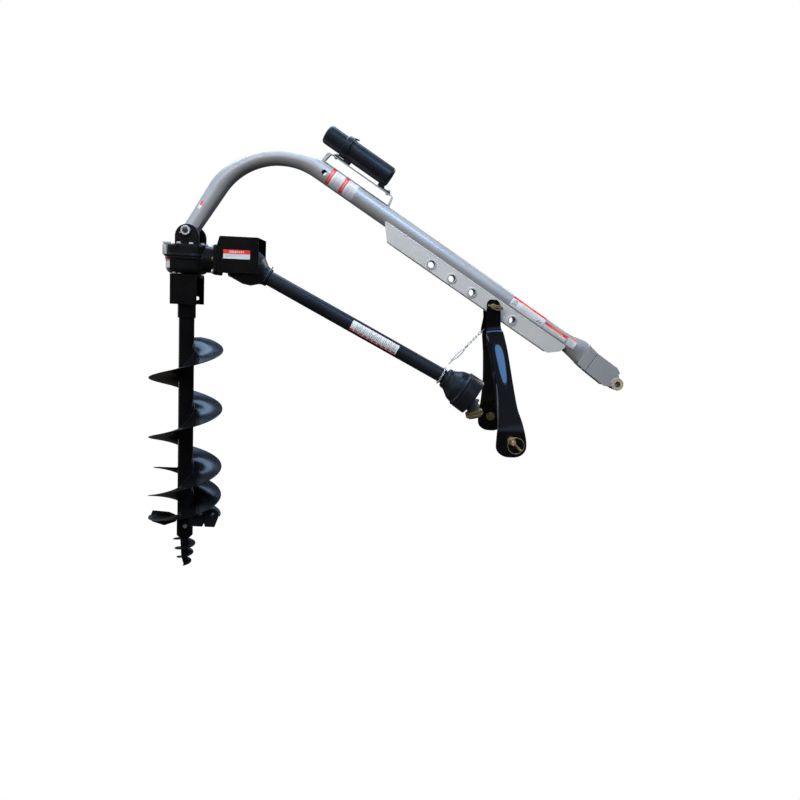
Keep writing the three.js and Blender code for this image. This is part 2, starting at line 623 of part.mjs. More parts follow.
// ---------------------------------------------------------------- joints and forks
const FORK_EAR_IN = 24;
const FORK_EAR_OUT = 34;
const EAR_HALF = 15;
const CROSS_R = 12;

// Fork of a universal joint: centre at the origin, root and hub on +X, ears at +Y and -Y.
function fork(hubEnd, hubR) {
  const pieces = [
    cylinder('x', FORK_EAR_OUT, FORK_ROOT, FORK_ROOT + 9, [0, 0, 0], 20),
    cylinder('x', hubR, FORK_ROOT + 4, hubEnd, [0, 0, 0], 20),
  ];
  for (const side of [-1, 1]) {
    const inner = side * FORK_EAR_IN;
    const outer = side * FORK_EAR_OUT;
    const [low, high] = [Math.min(inner, outer), Math.max(inner, outer)];
    pieces.push(box(0, FORK_ROOT + 6, low, high, -EAR_HALF, EAR_HALF));
    pieces.push(cylinder('y', EAR_HALF, low, high, [0, 0, 0], 16));
    pieces.push(cylinder('y', 7.5, side * (CROSS_R + 1), side * (FORK_EAR_IN + 2), [0, 0, 0], 10));
  }
  const trim = cylinder('x', FORK_EAR_OUT + 3, -20, hubEnd + 5, [0, 0, 0], 20);
  return geometryOf(solid(join(...pieces)).intersect(solid(trim)));
}

// input yoke: its fork opens towards the tractor, so the hub points back at the gearbox
const crossHub = () => new THREE.SphereGeometry(CROSS_R, 12, 8);
const stubs = cylinder('y', 7, -FORK_EAR_IN - 2, FORK_EAR_IN + 2, [0, 0, 0], 10);
const inputFork = join(fork(68, 25), stubs, crossHub()).rotateY(180 * DEG).translate(JOINT_X, 0, 0);
const inputYoke = cut(inputFork, cylinder('x', 15.4, 130, 168.5));
add(inputShaft, 'input_yoke', inputYoke, STEEL);

// ---------------------------------------------------------------- box shield and shaft guard
const SHIELD_Y = 90;
const SHEET = 3;
const SHIELD_BACK = 143;
const SHIELD_TOP = 532;
const SHIELD_LOW = 388;
const SHIELD_FRONT = 311;
const shieldOuter = outline([
  [SHIELD_BACK, SHIELD_LOW], [SHIELD_FRONT, SHIELD_LOW], [SHIELD_FRONT, SHIELD_TOP],
  [SHIELD_BACK + 10, SHIELD_TOP], [SHIELD_BACK, SHIELD_TOP - 34],
]);
const shieldInner = outline([
  [SHIELD_BACK + SHEET, SHIELD_LOW - 9], [SHIELD_FRONT + 9, SHIELD_LOW - 9],
  [SHIELD_FRONT + 9, SHIELD_TOP - SHEET], [SHIELD_BACK + 12, SHIELD_TOP - SHEET],
  [SHIELD_BACK + SHEET, SHIELD_TOP - 35],
]);
const boxShield = cut(
  plateXZ(shieldOuter, -SHIELD_Y, SHIELD_Y),
  plateXZ(shieldInner, SHEET - SHIELD_Y, SHIELD_Y - SHEET),
  cylinder('x', 32, 130, 160, [0, 0, INPUT_Z], 28),
);
add(gearbox, 'box_shield', boxShield, SATIN_BLACK);

const GUARD_Y = 64;
const GUARD_X0 = -56;
const GUARD_X1 = 56;
const GUARD_LOW = 250;
const GUARD_TOP = HOUSING_BOTTOM - GAP;
const guard = cut(
  box(GUARD_X0, GUARD_X1, -GUARD_Y, GUARD_Y, GUARD_LOW, GUARD_TOP),
  box(GUARD_X0 + SHEET, GUARD_X1 + 9, SHEET + 1 - GUARD_Y, GUARD_Y - SHEET - 1, GUARD_LOW - 9, GUARD_TOP - 4),
  cylinder('z', 42, GUARD_TOP - 20, GUARD_TOP + 9, [0, 0, 0], 28),
  cylinder('y', 8, 40, 80, [28, 0, 276], 16),
);
add(gearbox, 'shaft_guard', guard, SATIN_BLACK);

// ---------------------------------------------------------------- auger
const AUGER_BOLT_Z = 262;
const augerBoltHole = cylinder('y', 8 + GAP, -60, 60, [0, 0, AUGER_BOLT_Z], 12);
const outputShaft = cut(cylinder('z', 20, 130, COVER_TOP - 10), augerBoltHole);
add(auger, 'output_shaft', outputShaft, STEEL);
const TUBE_TOP = 300;
const TUBE_BOTTOM = -680;
const augerTube = ring('z', AUGER_TUBE_R, 25.4, TUBE_BOTTOM, TUBE_TOP);
add(auger, 'auger_tube', cut(augerTube, augerBoltHole), SATIN_BLACK);
const collar = ring('z', COLLAR_R, AUGER_TUBE_R + GAP, 193, TUBE_TOP);
add(auger, 'auger_collar', cut(collar, augerBoltHole), SATIN_BLACK);
add(auger, 'auger_bolt', cylinder('y', 8, -41, 41, [0, 0, AUGER_BOLT_Z]), ZINC);

const FLIGHT_T = 6.4;
const FLIGHT_IN = AUGER_TUBE_R + 0.8;

// A flight falls from its first angle; the last half turn is flatter, for the cutting head.
function flightSteps(topAngle, topZ, fullTurns, flatDrop) {
  const steps = [];
  const step = 15;
  const full = fullTurns * 360;
  for (let turn = 0; turn <= full + 180; turn += step) {
    const drop = (Math.min(turn, full) * FLIGHT_PITCH) / 360;
    const flat = flatDrop * (1 - (1 - Math.max(0, turn - full) / 180) ** 1.5);
    const z = topZ - drop - flat;
    steps.push({ angle: (topAngle - turn) * DEG, z, inner: FLIGHT_IN, outer: AUGER_R, thick: FLIGHT_T });
  }
  return steps;
}
add(auger, 'main_flight', helixBlade(flightSteps(75, 106, 2 + 255 / 360, 78)), SATIN_BLACK);
add(auger, 'second_flight', helixBlade(flightSteps(180, -455, 0.5, 88)), SATIN_BLACK);

// cutting head: a blade at the left end, two bolt-on teeth on a bar at the right end
const HEAD_Z = -664;
const bladeShape = outline([
  [-147, 24], [-73, 20], [-42, 8], [-36, -21], [-85, -42], [-141, -26], [-151, -4],
]);
const blade = plateXZ(bladeShape, -5, 5).rotateX(-42 * DEG).translate(0, 8, HEAD_Z - 10);
add(auger, 'cutting_blade', blade, SATIN_BLACK);
const TEETH = {
  inner: [[44, 38], [89, 38], [89, -24], [82, -40], [44, -40]],
  outer: [[90, 38], [126, 38], [145, 28], [151, 12], [147, -6], [135, -40], [94, -40], [90, -25]],
};
for (const [label, corners] of Object.entries(TEETH)) {
  const tooth = plateXZ(outline(corners), -5, 5).rotateX(-12 * DEG).translate(0, -18, HEAD_Z);
  add(auger, `tooth_${label}`, tooth, CAST_BLACK);
}

const HOLDER_TOP = TUBE_BOTTOM - GAP;
const HOLDER_LOW = -750;
const PILOT_BOLT_R = 6;
const PILOT_BOLT_Z = -700;
const PILOT_BOLT_TURN = 17 * DEG;
const pilotHole = cylinder('y', PILOT_BOLT_R + GAP, -60, 60, [0, 0, PILOT_BOLT_Z], 12);
pilotHole.rotateZ(PILOT_BOLT_TURN);
const holder = turned('z', [[0, -764], [20, -764], [34, HOLDER_LOW], [34, HOLDER_TOP], [0, HOLDER_TOP]]);
add(auger, 'pilot_holder', cut(holder, pilotHole), SATIN_BLACK);
const pilotBolt = bolt(PILOT_BOLT_R, 78, 69.4).rotateX(180 * DEG).translate(0, -34.6, PILOT_BOLT_Z);
add(auger, 'pilot_bolt', pilotBolt.rotateZ(PILOT_BOLT_TURN), ZINC);
const PILOT_TOP = -764 - GAP;
const PILOT_TIP = -893;
const PILOT_PITCH = 40;
const pilotSteps = [];
for (let turn = 0; turn <= 1020; turn += 30) {
  const t = turn / 1080;
  pilotSteps.push({
    angle: (210 - turn) * DEG, z: PILOT_TOP - 4 - (turn / 360) * PILOT_PITCH,
    inner: 4, outer: 50 - 24 * t, thick: 7 - 2 * t,
  });
}
const pilotCore = turned('z', [[0, PILOT_TIP], [14, PILOT_TIP + 45], [19, PILOT_TOP], [0, PILOT_TOP]]);
add(auger, 'pilot_screw', join(pilotCore, helixBlade(pilotSteps)), STEEL);

// ---------------------------------------------------------------- driveline
// Local frame: origin at the gearbox-end joint, x along the drive towards the tractor.
const drive = new THREE.Group();
drive.position.set(AUGER_X + JOINT_X, 0, INPUT_Z);
drive.rotation.y = DRIVE_ANGLE;
object.add(drive);

const coneProfile = [
  [75, -10], [75, 60], [65, 90], [43, 116], [38, 142], [SHIELD_R + GAP, 142],
  [SHIELD_R + GAP, 118], [40, 112], [61, 88], [71.5, 59], [71.5, -10],
];
add(drive, 'rear_shield_cone', turned('x', coneProfile), PLASTIC);
add(drive, 'outer_shield_tube', ring('x', SHIELD_R, 28.6, 119, NECK_S), PLASTIC);
const rearShaft = join(
  fork(76, 26).rotateX(90 * DEG),
  ring('x', 22, 17.5, 70, 900, [0, 0, 0], 20),
);
add(drive, 'rear_half_shaft', rearShaft, STEEL);

add(drive, 'inner_shield_tube', ring('x', 27.6, 25, 500, 1006), PLASTIC);
const frontShaft = join(
  fork(76, 26).rotateX(90 * DEG).rotateY(180 * DEG).translate(DRIVE_LENGTH, 0, 0),
  ring('x', 16.5, 9, 500, DRIVE_LENGTH - 60, [0, 0, 0], 20),
);
add(drive, 'front_half_shaft', frontShaft, STEEL);
add(drive, 'joint_cross', crossHub().translate(DRIVE_LENGTH, 0, 0), STEEL);

const bell = new THREE.Group();
bell.position.x = NECK_S + 2;
bell.rotation.y = BELL_DROOP;
drive.add(bell);
const bellProfile = [
  [38, 2], [44, 8], [46, 24], [66, 54], [73, 84], [80, 88], [81, 152],
  [77.5, 152], [76, 92], [69, 88], [62, 56], [42, 27], [34, 22], [34, 2],
];
add(bell, 'tractor_shield_bell', turned('x', bellProfile, [0, 0, 0], 22), PLASTIC);

// tractor-end yoke: hangs from the front joint, with a sliding quick-release collar
const hang = new THREE.Group();
hang.position.set(DRIVE_LENGTH, 0, 0);
hang.rotation.y = HANG_ANGLE - DRIVE_ANGLE;
drive.add(hang);
const YOKE_END = 120;
const tractorYoke = cut(fork(YOKE_END, 27), cylinder('x', 17.5, 62, YOKE_END + 5));
add(hang, 'tractor_yoke', tractorYoke, STEEL);
add(hang, 'release_collar', ring('x', 38, 27 + GAP, 88, 114, [0, 0, 0], 28), GOLD_ZINC);

// ---------------------------------------------------------------- safety chain
// A lug on the yoke pin, a chain down to the shield neck, and a loop of it round the tube.
const neck = new THREE.Vector2(
  AUGER_X + JOINT_X + (NECK_S - 12) * Math.cos(DRIVE_ANGLE),
  INPUT_Z - (NECK_S - 12) * Math.sin(DRIVE_ANGLE),
);
const CHAIN_Y = 46;
const CHAIN_TOP = new THREE.Vector3(yokePin.x - 19, CHAIN_Y, yokePin.y - 99);
const lugShape = new THREE.Shape();
lugShape.absarc(CHAIN_TOP.x, CHAIN_TOP.z, 12, 169 * DEG, 349 * DEG, false);
lugShape.absarc(yokePin.x, yokePin.y, 17, -11 * DEG, 169 * DEG, false);
roundHole(lugShape, yokePin.x, yokePin.y, YOKE_PIN_R + GAP);
const lug = plateXZ(lugShape, CHAIN_Y - 2, CHAIN_Y + 2);
const chainLine = new THREE.LineCurve3(
  CHAIN_TOP.clone(),
  new THREE.Vector3(neck.x + 26, 5, neck.y + 47),
);
const chainSection = new THREE.Shape();
chainSection.absarc(0, 0, 4, 0, 2 * Math.PI, false);
const chainRun = new THREE.ExtrudeGeometry(chainSection, {
  steps: 8, extrudePath: chainLine, curveSegments: 8,
});
const chainLoop = new THREE.TorusGeometry(SHIELD_R + 5.2, 4.2, 6, 18).rotateY(90 * DEG);
chainLoop.rotateY(DRIVE_ANGLE).translate(neck.x, 0, neck.y);
add(object, 'safety_chain', join(lug, chainRun), ZINC);
add(object, 'chain_loop', chainLoop, ZINC);

export default object;
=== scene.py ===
import json
import math

import bmesh
import bpy
from mathutils import Matrix, Vector


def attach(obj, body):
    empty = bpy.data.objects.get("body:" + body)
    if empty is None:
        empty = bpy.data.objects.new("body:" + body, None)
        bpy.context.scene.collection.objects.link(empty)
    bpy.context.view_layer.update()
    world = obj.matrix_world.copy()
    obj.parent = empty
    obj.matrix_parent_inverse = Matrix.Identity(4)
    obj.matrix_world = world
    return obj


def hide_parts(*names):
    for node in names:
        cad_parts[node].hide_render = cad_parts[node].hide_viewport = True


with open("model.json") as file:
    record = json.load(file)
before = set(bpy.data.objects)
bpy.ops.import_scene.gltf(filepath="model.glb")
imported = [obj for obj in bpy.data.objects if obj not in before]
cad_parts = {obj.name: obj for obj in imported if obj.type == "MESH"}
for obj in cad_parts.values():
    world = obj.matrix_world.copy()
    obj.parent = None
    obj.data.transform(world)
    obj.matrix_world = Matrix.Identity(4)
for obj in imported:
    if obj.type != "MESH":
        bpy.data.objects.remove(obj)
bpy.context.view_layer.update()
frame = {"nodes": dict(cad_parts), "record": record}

# Shapes are built in millimetres in a local frame, then placed in the row frame in metres.
MM = 0.001
DEG = math.pi / 180
X = Vector((1, 0, 0))
Y = Vector((0, 1, 0))
Z = Vector((0, 0, 1))


# ------------------------------------------------------------------ places, from the frame
JOINTS = {j["name"]: j for j in frame["record"]["behaviour"]["joints"]}
MOUNTS = {m["name"]: m for m in frame["record"]["mounts"]}


def joint_point(name):
    return Vector(JOINTS[name]["pos_m"]) / MM


def slope(name):
    """How far a joint's axis falls below level, towards the tractor."""
    axis = JOINTS[name]["axis"]
    return math.atan2(-axis[2], axis[0])


def turned_about_y(angle):
    return Matrix.Rotation(angle, 4, "Y")


EAR_PIN = joint_point("gearbox_swing")
AUGER_AXIS = joint_point("auger_spin")
REAR_JOINT = joint_point("driveline_pitch")
FRONT_JOINT = joint_point("yoke_hang")
YOKE_PIN = joint_point("yoke_swing")
HITCH_PIN = Vector(MOUNTS["lower_pin_end_near"]["pos_m"]) / MM
BOOM_ANGLE = math.pi + slope("cap_slide")
DRIVE_ANGLE = slope("telescope")
HANG_ANGLE = slope("tractor_yoke_spin")
NECK_S = 985  # where the tractor-end bell starts, along the drive
BELL_DROOP = 6 * DEG
ROW = Matrix.Identity(4)
BOOM = turned_about_y(BOOM_ANGLE)
BOX = Matrix.Translation((AUGER_AXIS.x, 0, 0))
DRIVE = Matrix.Translation(REAR_JOINT) @ turned_about_y(DRIVE_ANGLE)
BELL = DRIVE @ Matrix.Translation((NECK_S + 2, 0, 0)) @ turned_about_y(BELL_DROOP)
HANG = Matrix.Translation(FRONT_JOINT) @ turned_about_y(HANG_ANGLE)
LOCAL_FRAMES = {  # the frame in which a body's pieces are drawn, where it isn't the row's
    "boom": BOOM, "canister_cap": BOOM, "gearbox": BOX, "auger": BOX, "driveline_shield": DRIVE,
    "front_shield": DRIVE, "tractor_yoke": HANG, "release_collar": HANG,
}
SIDES = (("near", -1), ("far", 1))


# ------------------------------------------------------------------ camera, light and floor
CAMERA_AT = (-0.9735, -3.15, 0.3127)
CAMERA_TURN = (82.28, -2.74, -0.69)
LENS = 33.4
FLOOR_Z = -1.17


def make_camera():
    data = bpy.data.cameras.new("camera")
    data.lens = LENS
    camera = bpy.data.objects.new("camera", data)
    camera.location = CAMERA_AT
    camera.rotation_euler = [a * DEG for a in CAMERA_TURN]
    bpy.context.scene.collection.objects.link(camera)
    bpy.context.scene.camera = camera


def area_light(name, place, target, size, power, colour, mirrored=True, lighting=True):
    data = bpy.data.lights.new(name, "AREA")
    data.shape = "RECTANGLE" if lighting else "ELLIPSE"
    data.size, data.size_y = size
    data.energy = power
    data.color = colour
    lamp = bpy.data.objects.new(name, data)
    lamp.location = place
    lamp.rotation_euler = (Vector(target) - Vector(place)).to_track_quat("-Z", "Y").to_euler()
    lamp.visible_glossy = mirrored
    lamp.visible_diffuse = lighting
    bpy.context.scene.collection.objects.link(lamp)


def make_world():
    """Plain white behind the object. It mirrors a dark ground, a grey horizon and a band of blue sky."""
    world = bpy.data.worlds.new("studio")
    bpy.context.scene.world = world
    world.use_nodes = True
    nodes, links = world.node_tree.nodes, world.node_tree.links
    output = nodes["World Output"]
    seen = nodes["Background"]
    seen.inputs["Color"].default_value = (1, 1, 1, 1)
    around = nodes.new("ShaderNodeBackground")
    coordinates = nodes.new("ShaderNodeTexCoord")
    parts = nodes.new("ShaderNodeSeparateXYZ")
    height = nodes.new("ShaderNodeMapRange")
    height.inputs["From Min"].default_value = -1
    ramp = nodes.new("ShaderNodeValToRGB")
    stops = ramp.color_ramp.elements
    stops[0].position, stops[0].color = 0.0, (0.06, 0.055, 0.05, 1)
    stops[1].position, stops[1].color = 1.0, (0.10, 0.12, 0.15, 1)
    for position, colour in ((0.51, (0.03, 0.03, 0.03, 1)), (0.56, (0.16, 0.15, 0.14, 1)),
                             (0.60, (0.24, 0.24, 0.25, 1)), (0.63, (0.26, 0.44, 0.80, 1)),
                             (0.70, (0.34, 0.50, 0.85, 1)), (0.80, (0.12, 0.15, 0.20, 1))):
        stops.new(position).color = colour
    links.new(coordinates.outputs["Generated"], parts.inputs["Vector"])
    links.new(parts.outputs["Z"], height.inputs["Value"])
    links.new(height.outputs["Result"], ramp.inputs["Fac"])
    links.new(ramp.outputs["Color"], around.inputs["Color"])
    mix = nodes.new("ShaderNodeMixShader")
    rays = nodes.new("ShaderNodeLightPath")
    links.new(rays.outputs["Is Camera Ray"], mix.inputs["Fac"])
    links.new(around.outputs["Background"], mix.inputs[1])
    links.new(seen.outputs["Background"], mix.inputs[2])
    links.new(mix.outputs["Shader"], output.inputs["Surface"])


def make_floor():
    """A wide sheet of evenly lit white paper, which shows in no reflection."""
    mesh = bpy.data.meshes.new("floor")
    reach = 60
    corners = [(-reach, -reach), (reach, -reach), (reach, reach), (-reach, reach)]
    mesh.from_pydata([(x, y, FLOOR_Z) for x, y in corners], [], [(0, 1, 2, 3)])
    floor = bpy.data.objects.new("floor", mesh)
    bpy.context.scene.collection.objects.link(floor)
    paper = bpy.data.materials.new("floor_paper")
    paper.use_nodes = True
    shader = paper.node_tree.nodes["Principled BSDF"]
    shader.inputs["Base Color"].default_value = (0, 0, 0, 1)
    shader.inputs["Specular IOR Level"].default_value = 0
    shader.inputs["Emission Color"].default_value = (1, 1, 1, 1)
    shader.inputs["Emission Strength"].default_value = 1
    mesh.materials.append(paper)
    floor.visible_diffuse = False
    floor.visible_glossy = False


def make_studio():
    """Sky and key only light the object, gleam and far_sky only show in its paint, the others do both."""
    middle = (-0.95, 0, 0)
    area_light("sky", (-1.0, -1.4, 4.2), middle, (4.2, 3.2), 390, (0.86, 0.93, 1.0), mirrored=False)
    area_light("key", (-3.4, -4.2, 2.4), middle, (2.4, 2.4), 215, (1.0, 0.97, 0.93), mirrored=False)
    area_light("rim", (2.6, 3.2, 2.6), middle, (2.6, 1.6), 60, (1.0, 1.0, 1.0))
    area_light("strip", (-4.2, 1.7, 0.1), (-1.8, 0, 0), (0.9, 2.4), 9, (0.80, 0.90, 1.0))
    area_light("gleam", (-0.46, -1.09, 1.84), (-0.51, -0.14, 0.06), (1.0, 0.50), 10.5,
               (0.20, 0.46, 1.0), lighting=False)
    area_light("far_sky", (-1.9, 1.3, 3.0), (-1.83, 0, -0.1), (3.4, 2.2), 110,
               (0.42, 0.64, 1.0), lighting=False)
    make_world()
    make_floor()
    bpy.context.scene.view_settings.view_transform = "Standard"


# ------------------------------------------------------------------ materials
COAT_ROUGHNESS = 0.05
GRAIN_DEPTH = 0.0006  # in metres, like the scene


def finish(name, colour, other, roughness, metallic=0.0, coat=0.0, patch=9.0, grain=900.0, bump=0.08,
           wear=None, mirror=0.5):
    """A surface with patchy colour, uneven gloss, fine grain and, with wear, bare high edges."""
    made = bpy.data.materials.new(name)
    made.use_nodes = True
    nodes, links = made.node_tree.nodes, made.node_tree.links
    shader = nodes["Principled BSDF"]
    shader.inputs["Metallic"].default_value = metallic
    shader.inputs["Coat Weight"].default_value = coat
    shader.inputs["Coat Roughness"].default_value = COAT_ROUGHNESS
    shader.inputs["Specular IOR Level"].default_value = mirror
    place = nodes.new("ShaderNodeTexCoord").outputs["Object"]

    def noise(scale, detail):
        node = nodes.new("ShaderNodeTexNoise")
        node.inputs["Scale"].default_value = scale
        node.inputs["Detail"].default_value = detail
        links.new(place, node.inputs["Vector"])
        return node.outputs["Fac"]

    def spread(value, low, high, to_low, to_high):
        node = nodes.new("ShaderNodeMapRange")
        settings = {"From Min": low, "From Max": high, "To Min": to_low, "To Max": to_high}
        for key, number in settings.items():
            node.inputs[key].default_value = number
        links.new(value, node.inputs["Value"])
        return node.outputs["Result"]

    def blend(factor, first, second):
        node = nodes.new("ShaderNodeMix")
        node.data_type = "RGBA"
        links.new(factor, node.inputs["Factor"])
        for socket, value in (("A", first), ("B", second)):
            target = next(s for s in node.inputs if s.name == socket and s.type == "RGBA")
            if isinstance(value, tuple):
                target.default_value = (*value, 1)
            else:
                links.new(value, target)
        return next(s for s in node.outputs if s.type == "RGBA")

    patches = noise(patch, 5)
    tint = blend(spread(patches, 0.35, 0.68, 0, 1), colour, other)
    specks = noise(patch * 14, 8)
    shine = spread(specks, 0.3, 0.7, roughness[0], roughness[1])
    if wear:
        edges = nodes.new("ShaderNodeNewGeometry").outputs["Pointiness"]
        worn = nodes.new("ShaderNodeMath")
        worn.operation = "MULTIPLY"
        links.new(spread(edges, 0.53, 0.62, 0, 1), worn.inputs[0])
        links.new(spread(noise(patch * 5, 6), 0.45, 0.6, 0, 1), worn.inputs[1])
        tint = blend(worn.outputs[0], tint, wear)
    links.new(tint, shader.inputs["Base Color"])
    links.new(shine, shader.inputs["Roughness"])
    relief = nodes.new("ShaderNodeBump")
    relief.inputs["Strength"].default_value = bump
    relief.inputs["Distance"].default_value = GRAIN_DEPTH
    links.new(noise(grain, 3), relief.inputs["Height"])
    links.new(relief.outputs["Normal"], shader.inputs["Normal"])
    return made


# Each finish: its colour, the colour of its patches and its lowest and highest roughness. The label
# finishes are the printed films of the decals.
FINISH_SETTINGS = {
    "silver_paint": ((0.42, 0.425, 0.43), (0.38, 0.39, 0.40), (0.30, 0.40), 0.5, 0.1, 7, 1400, 0.03),
    "grey_paint": ((0.50, 0.495, 0.485), (0.44, 0.44, 0.43), (0.42, 0.54), 0.2, 0.05, 8, 1100, 0.05),
    "grey_paint_edge": ((0.50, 0.50, 0.50), (0.38, 0.38, 0.38), (0.3, 0.4), 0.4),
    "gloss_black_paint": ((0.0015, 0.0015, 0.002), (0.003, 0.003, 0.0035), (0.04, 0.08), 0, 0, 6, 120, 0.02),
    "satin_black_paint": ((0.002, 0.002, 0.0025), (0.004, 0.0037, 0.0034), (0.14, 0.26), 0, 0, 11, 500, 0.04,
                          None, 0.35),
    # A lighter satin black for the bevels: a painted highlight where light catches the edges.
    "satin_black_edge_highlight": ((0.02, 0.02, 0.021), (0.12, 0.115, 0.11), (0.25, 0.4), 0.4, 0, 60),
    "cast_black": ((0.0025, 0.0024, 0.0022), (0.005, 0.0047, 0.0042), (0.24, 0.42), 0, 0, 16, 420, 0.3,
                   (0.03, 0.028, 0.025), 0.35),
    "black_plastic": ((0.006, 0.007, 0.009), (0.009, 0.011, 0.014), (0.30, 0.42), 0, 0, 12, 1500, 0.08,
                      None, 0.4),
    "zinc": ((0.66, 0.67, 0.66), (0.50, 0.51, 0.50), (0.25, 0.4), 0.6, 0, 30, 900, 0.05),
    "gold_zinc": ((0.50, 0.38, 0.15), (0.36, 0.30, 0.14), (0.24, 0.38), 0.8, 0, 45, 900, 0.05),
    "copper_zinc": ((0.72, 0.34, 0.18), (0.60, 0.40, 0.22), (0.24, 0.4), 0.6, 0, 45, 900, 0.05),
    "bare_steel": ((0.34, 0.34, 0.345), (0.24, 0.235, 0.225), (0.26, 0.46), 0.9, 0, 26, 700, 0.06),
    "label_white": ((0.48, 0.50, 0.51), (0.42, 0.44, 0.45), (0.35, 0.5), 0, 0, 20),
    "label_red": ((0.56, 0.03, 0.02), (0.46, 0.03, 0.025), (0.35, 0.5), 0, 0, 20),
    "label_orange": ((0.62, 0.15, 0.05), (0.52, 0.13, 0.05), (0.35, 0.5), 0, 0, 20),
    "label_ink": ((0.03, 0.03, 0.03), (0.06, 0.06, 0.06), (0.4, 0.55), 0, 0, 20),
    "worn_tan": ((0.42, 0.34, 0.22), (0.30, 0.25, 0.17), (0.45, 0.6), 0.1, 0, 40, 700, 0.05),
    "label_grey": ((0.27, 0.29, 0.31), (0.22, 0.24, 0.26), (0.4, 0.55), 0, 0, 20),
}
FINISHES = {name: finish(name, *settings) for name, settings in FINISH_SETTINGS.items()}
# The finish of a paint's bevelled edges (satin black's is a painted edge highlight), and the films that a
# decal is printed in.
EDGES = {"satin_black_paint": "satin_black_edge_highlight", "grey_paint": "grey_paint_edge"}
FILMS = ["white", "red", "orange", "ink", "grey"]
FILM_T = 0.3  # a decal's thickness in millimetres


# ------------------------------------------------------------------ shapes: (points, faces)
CORNER_SHARE = 0.45  # a rounded corner takes up no more of a side than this


def moved(shape, matrix):
    points, faces = shape
    return [matrix @ Vector(p) for p in points], faces


def shifted(shape, x=0, y=0, z=0):
    return moved(shape, Matrix.Translation((x, y, z)))


def together(*shapes):
    points, faces = [], []
    for more, cells in shapes:
        start = len(points)
        points += [Vector(p) for p in more]
        faces += [tuple(start + i for i in cell) for cell in cells]
    return points, faces


TURN_TO = {
    "x": Matrix.Identity(4),
    "y": Matrix.Rotation(90 * DEG, 4, "Z"),
    "z": Matrix.Rotation(-90 * DEG, 4, "Y"),
}


def polar(radius, angle):
    """The point at a radius and an angle, in its plane."""
    return radius * math.cos(angle), radius * math.sin(angle)


def lathe(axis, profile, centre=(0, 0, 0), sides=64):
    """A solid of revolution. The profile is (radius, distance) and closes on itself or on the axis."""
    points, faces = [], []
    rings = []
    for radius, along in profile:
        if radius == 0:
            points.append((along, 0, 0))
            rings.append([len(points) - 1] * sides)
            continue
        start = len(points)
        points += [(along, *polar(radius, 2 * math.pi * k / sides)) for k in range(sides)]
        rings.append(list(range(start, start + sides)))
    pairs = list(zip(rings, rings[1:]))
    if profile[0][0] and profile[-1][0]:
        pairs.append((rings[-1], rings[0]))
    for a, b in pairs:
        for k in range(sides):
            n = (k + 1) % sides
            cell = (a[k], a[n], b[n], b[k])
            faces.append(tuple(dict.fromkeys(cell)))
    place = Matrix.Translation(centre) @ TURN_TO[axis]
    return moved((points, [f for f in faces if len(f) > 2]), place)


def traced(steps, point):
    """The points of a path: point(t) for t from 0 to 1."""
    return [point(k / steps) for k in range(steps + 1)]


def turned_corner(before, at, after, radius, steps):
    """Points that round the corner at a point by an arc-like curve, shorter where a side is short."""
    p = Vector(at)
    a, b = Vector(before) - p, Vector(after) - p
    reach = min(radius, a.length * CORNER_SHARE, b.length * CORNER_SHARE)
    first, last = p + a.normalized() * reach, p + b.normalized() * reach
    return traced(steps, lambda t: first * (1 - t) ** 2 + p * 2 * t * (1 - t) + last * t * t)


def rounded(profile, radius=1.0, steps=3):
    """The same profile with its corners off the axis rounded."""
    out = []
    count = len(profile)
    for i, (r, h) in enumerate(profile):
        if r == 0 or (profile[0][0] == 0 and i in (0, count - 1)):
            out.append((r, h))
            continue
        curve = turned_corner(profile[i - 1], (r, h), profile[(i + 1) % count], radius, steps)
        out += [(max(q.x, 0.01), q.y) for q in curve]
    return out


def ring(axis, outer, inner, low, high, centre=(0, 0, 0), edge=0.8, sides=64):
    profile = [(inner, low), (outer, low), (outer, high), (inner, high)]
    return lathe(axis, rounded(profile, edge), centre, sides)


def rod(axis, radius, low, high, centre=(0, 0, 0), edge=0.8, sides=48):
    profile = [(0, low), (radius, low), (radius, high), (0, high)]
    return lathe(axis, rounded(profile, edge), centre, sides)


def prism(outline, low, high, axis="y"):
    """A plate with the outline (a, b) in the plane square to its axis."""
    put = {
        "y": lambda a, b, c: (a, c, b),
        "x": lambda a, b, c: (c, a, b),
        "z": lambda a, b, c: (a, b, c),
    }[axis]
    count = len(outline)
    points = [put(a, b, low) for a, b in outline] + [put(a, b, high) for a, b in outline]
    faces = [tuple(range(count)), tuple(range(2 * count - 1, count - 1, -1))]
    faces += [(i, (i + 1) % count, count + (i + 1) % count, count + i) for i in range(count)]
    return points, faces


def arc(centre, radius, first, last, steps):
    """Points on an arc, angles in degrees."""
    out = []
    for k in range(steps + 1):
        a, b = polar(radius, (first + (last - first) * k / steps) * DEG)
        out.append((centre[0] + a, centre[1] + b))
    return out


def fillet(outline, radius, steps=5):
    """A polygon with every corner rounded by an arc-like curve."""
    out = []
    for i, corner in enumerate(outline):
        curve = turned_corner(outline[i - 1], corner, outline[(i + 1) % len(outline)], radius, steps)
        out += [(q.x, q.y) for q in curve]
    return out


def band(outer, inner, low, high):
    """A flat loop between two outlines with the same number of points, along Y."""
    count = len(outer)
    points = [(a, low, b) for a, b in outer] + [(a, low, b) for a, b in inner]
    points += [(a, high, b) for a, b in outer] + [(a, high, b) for a, b in inner]
    faces = []
    for i in range(count):
        n = (i + 1) % count
        faces.append((i, n, count + n, count + i))
        faces.append((2 * count + i, 3 * count + i, 3 * count + n, 2 * count + n))
        faces.append((i, 2 * count + i, 2 * count + n, n))
        faces.append((count + i, count + n, 3 * count + n, 3 * count + i))
    return points, faces


def station(at, wide, thick, a, b, m):
    """A loft's section: centre, its two directions, its half sizes along them, and how square it is."""
    return [Vector(at), Vector(wide), Vector(thick), a, b, m]


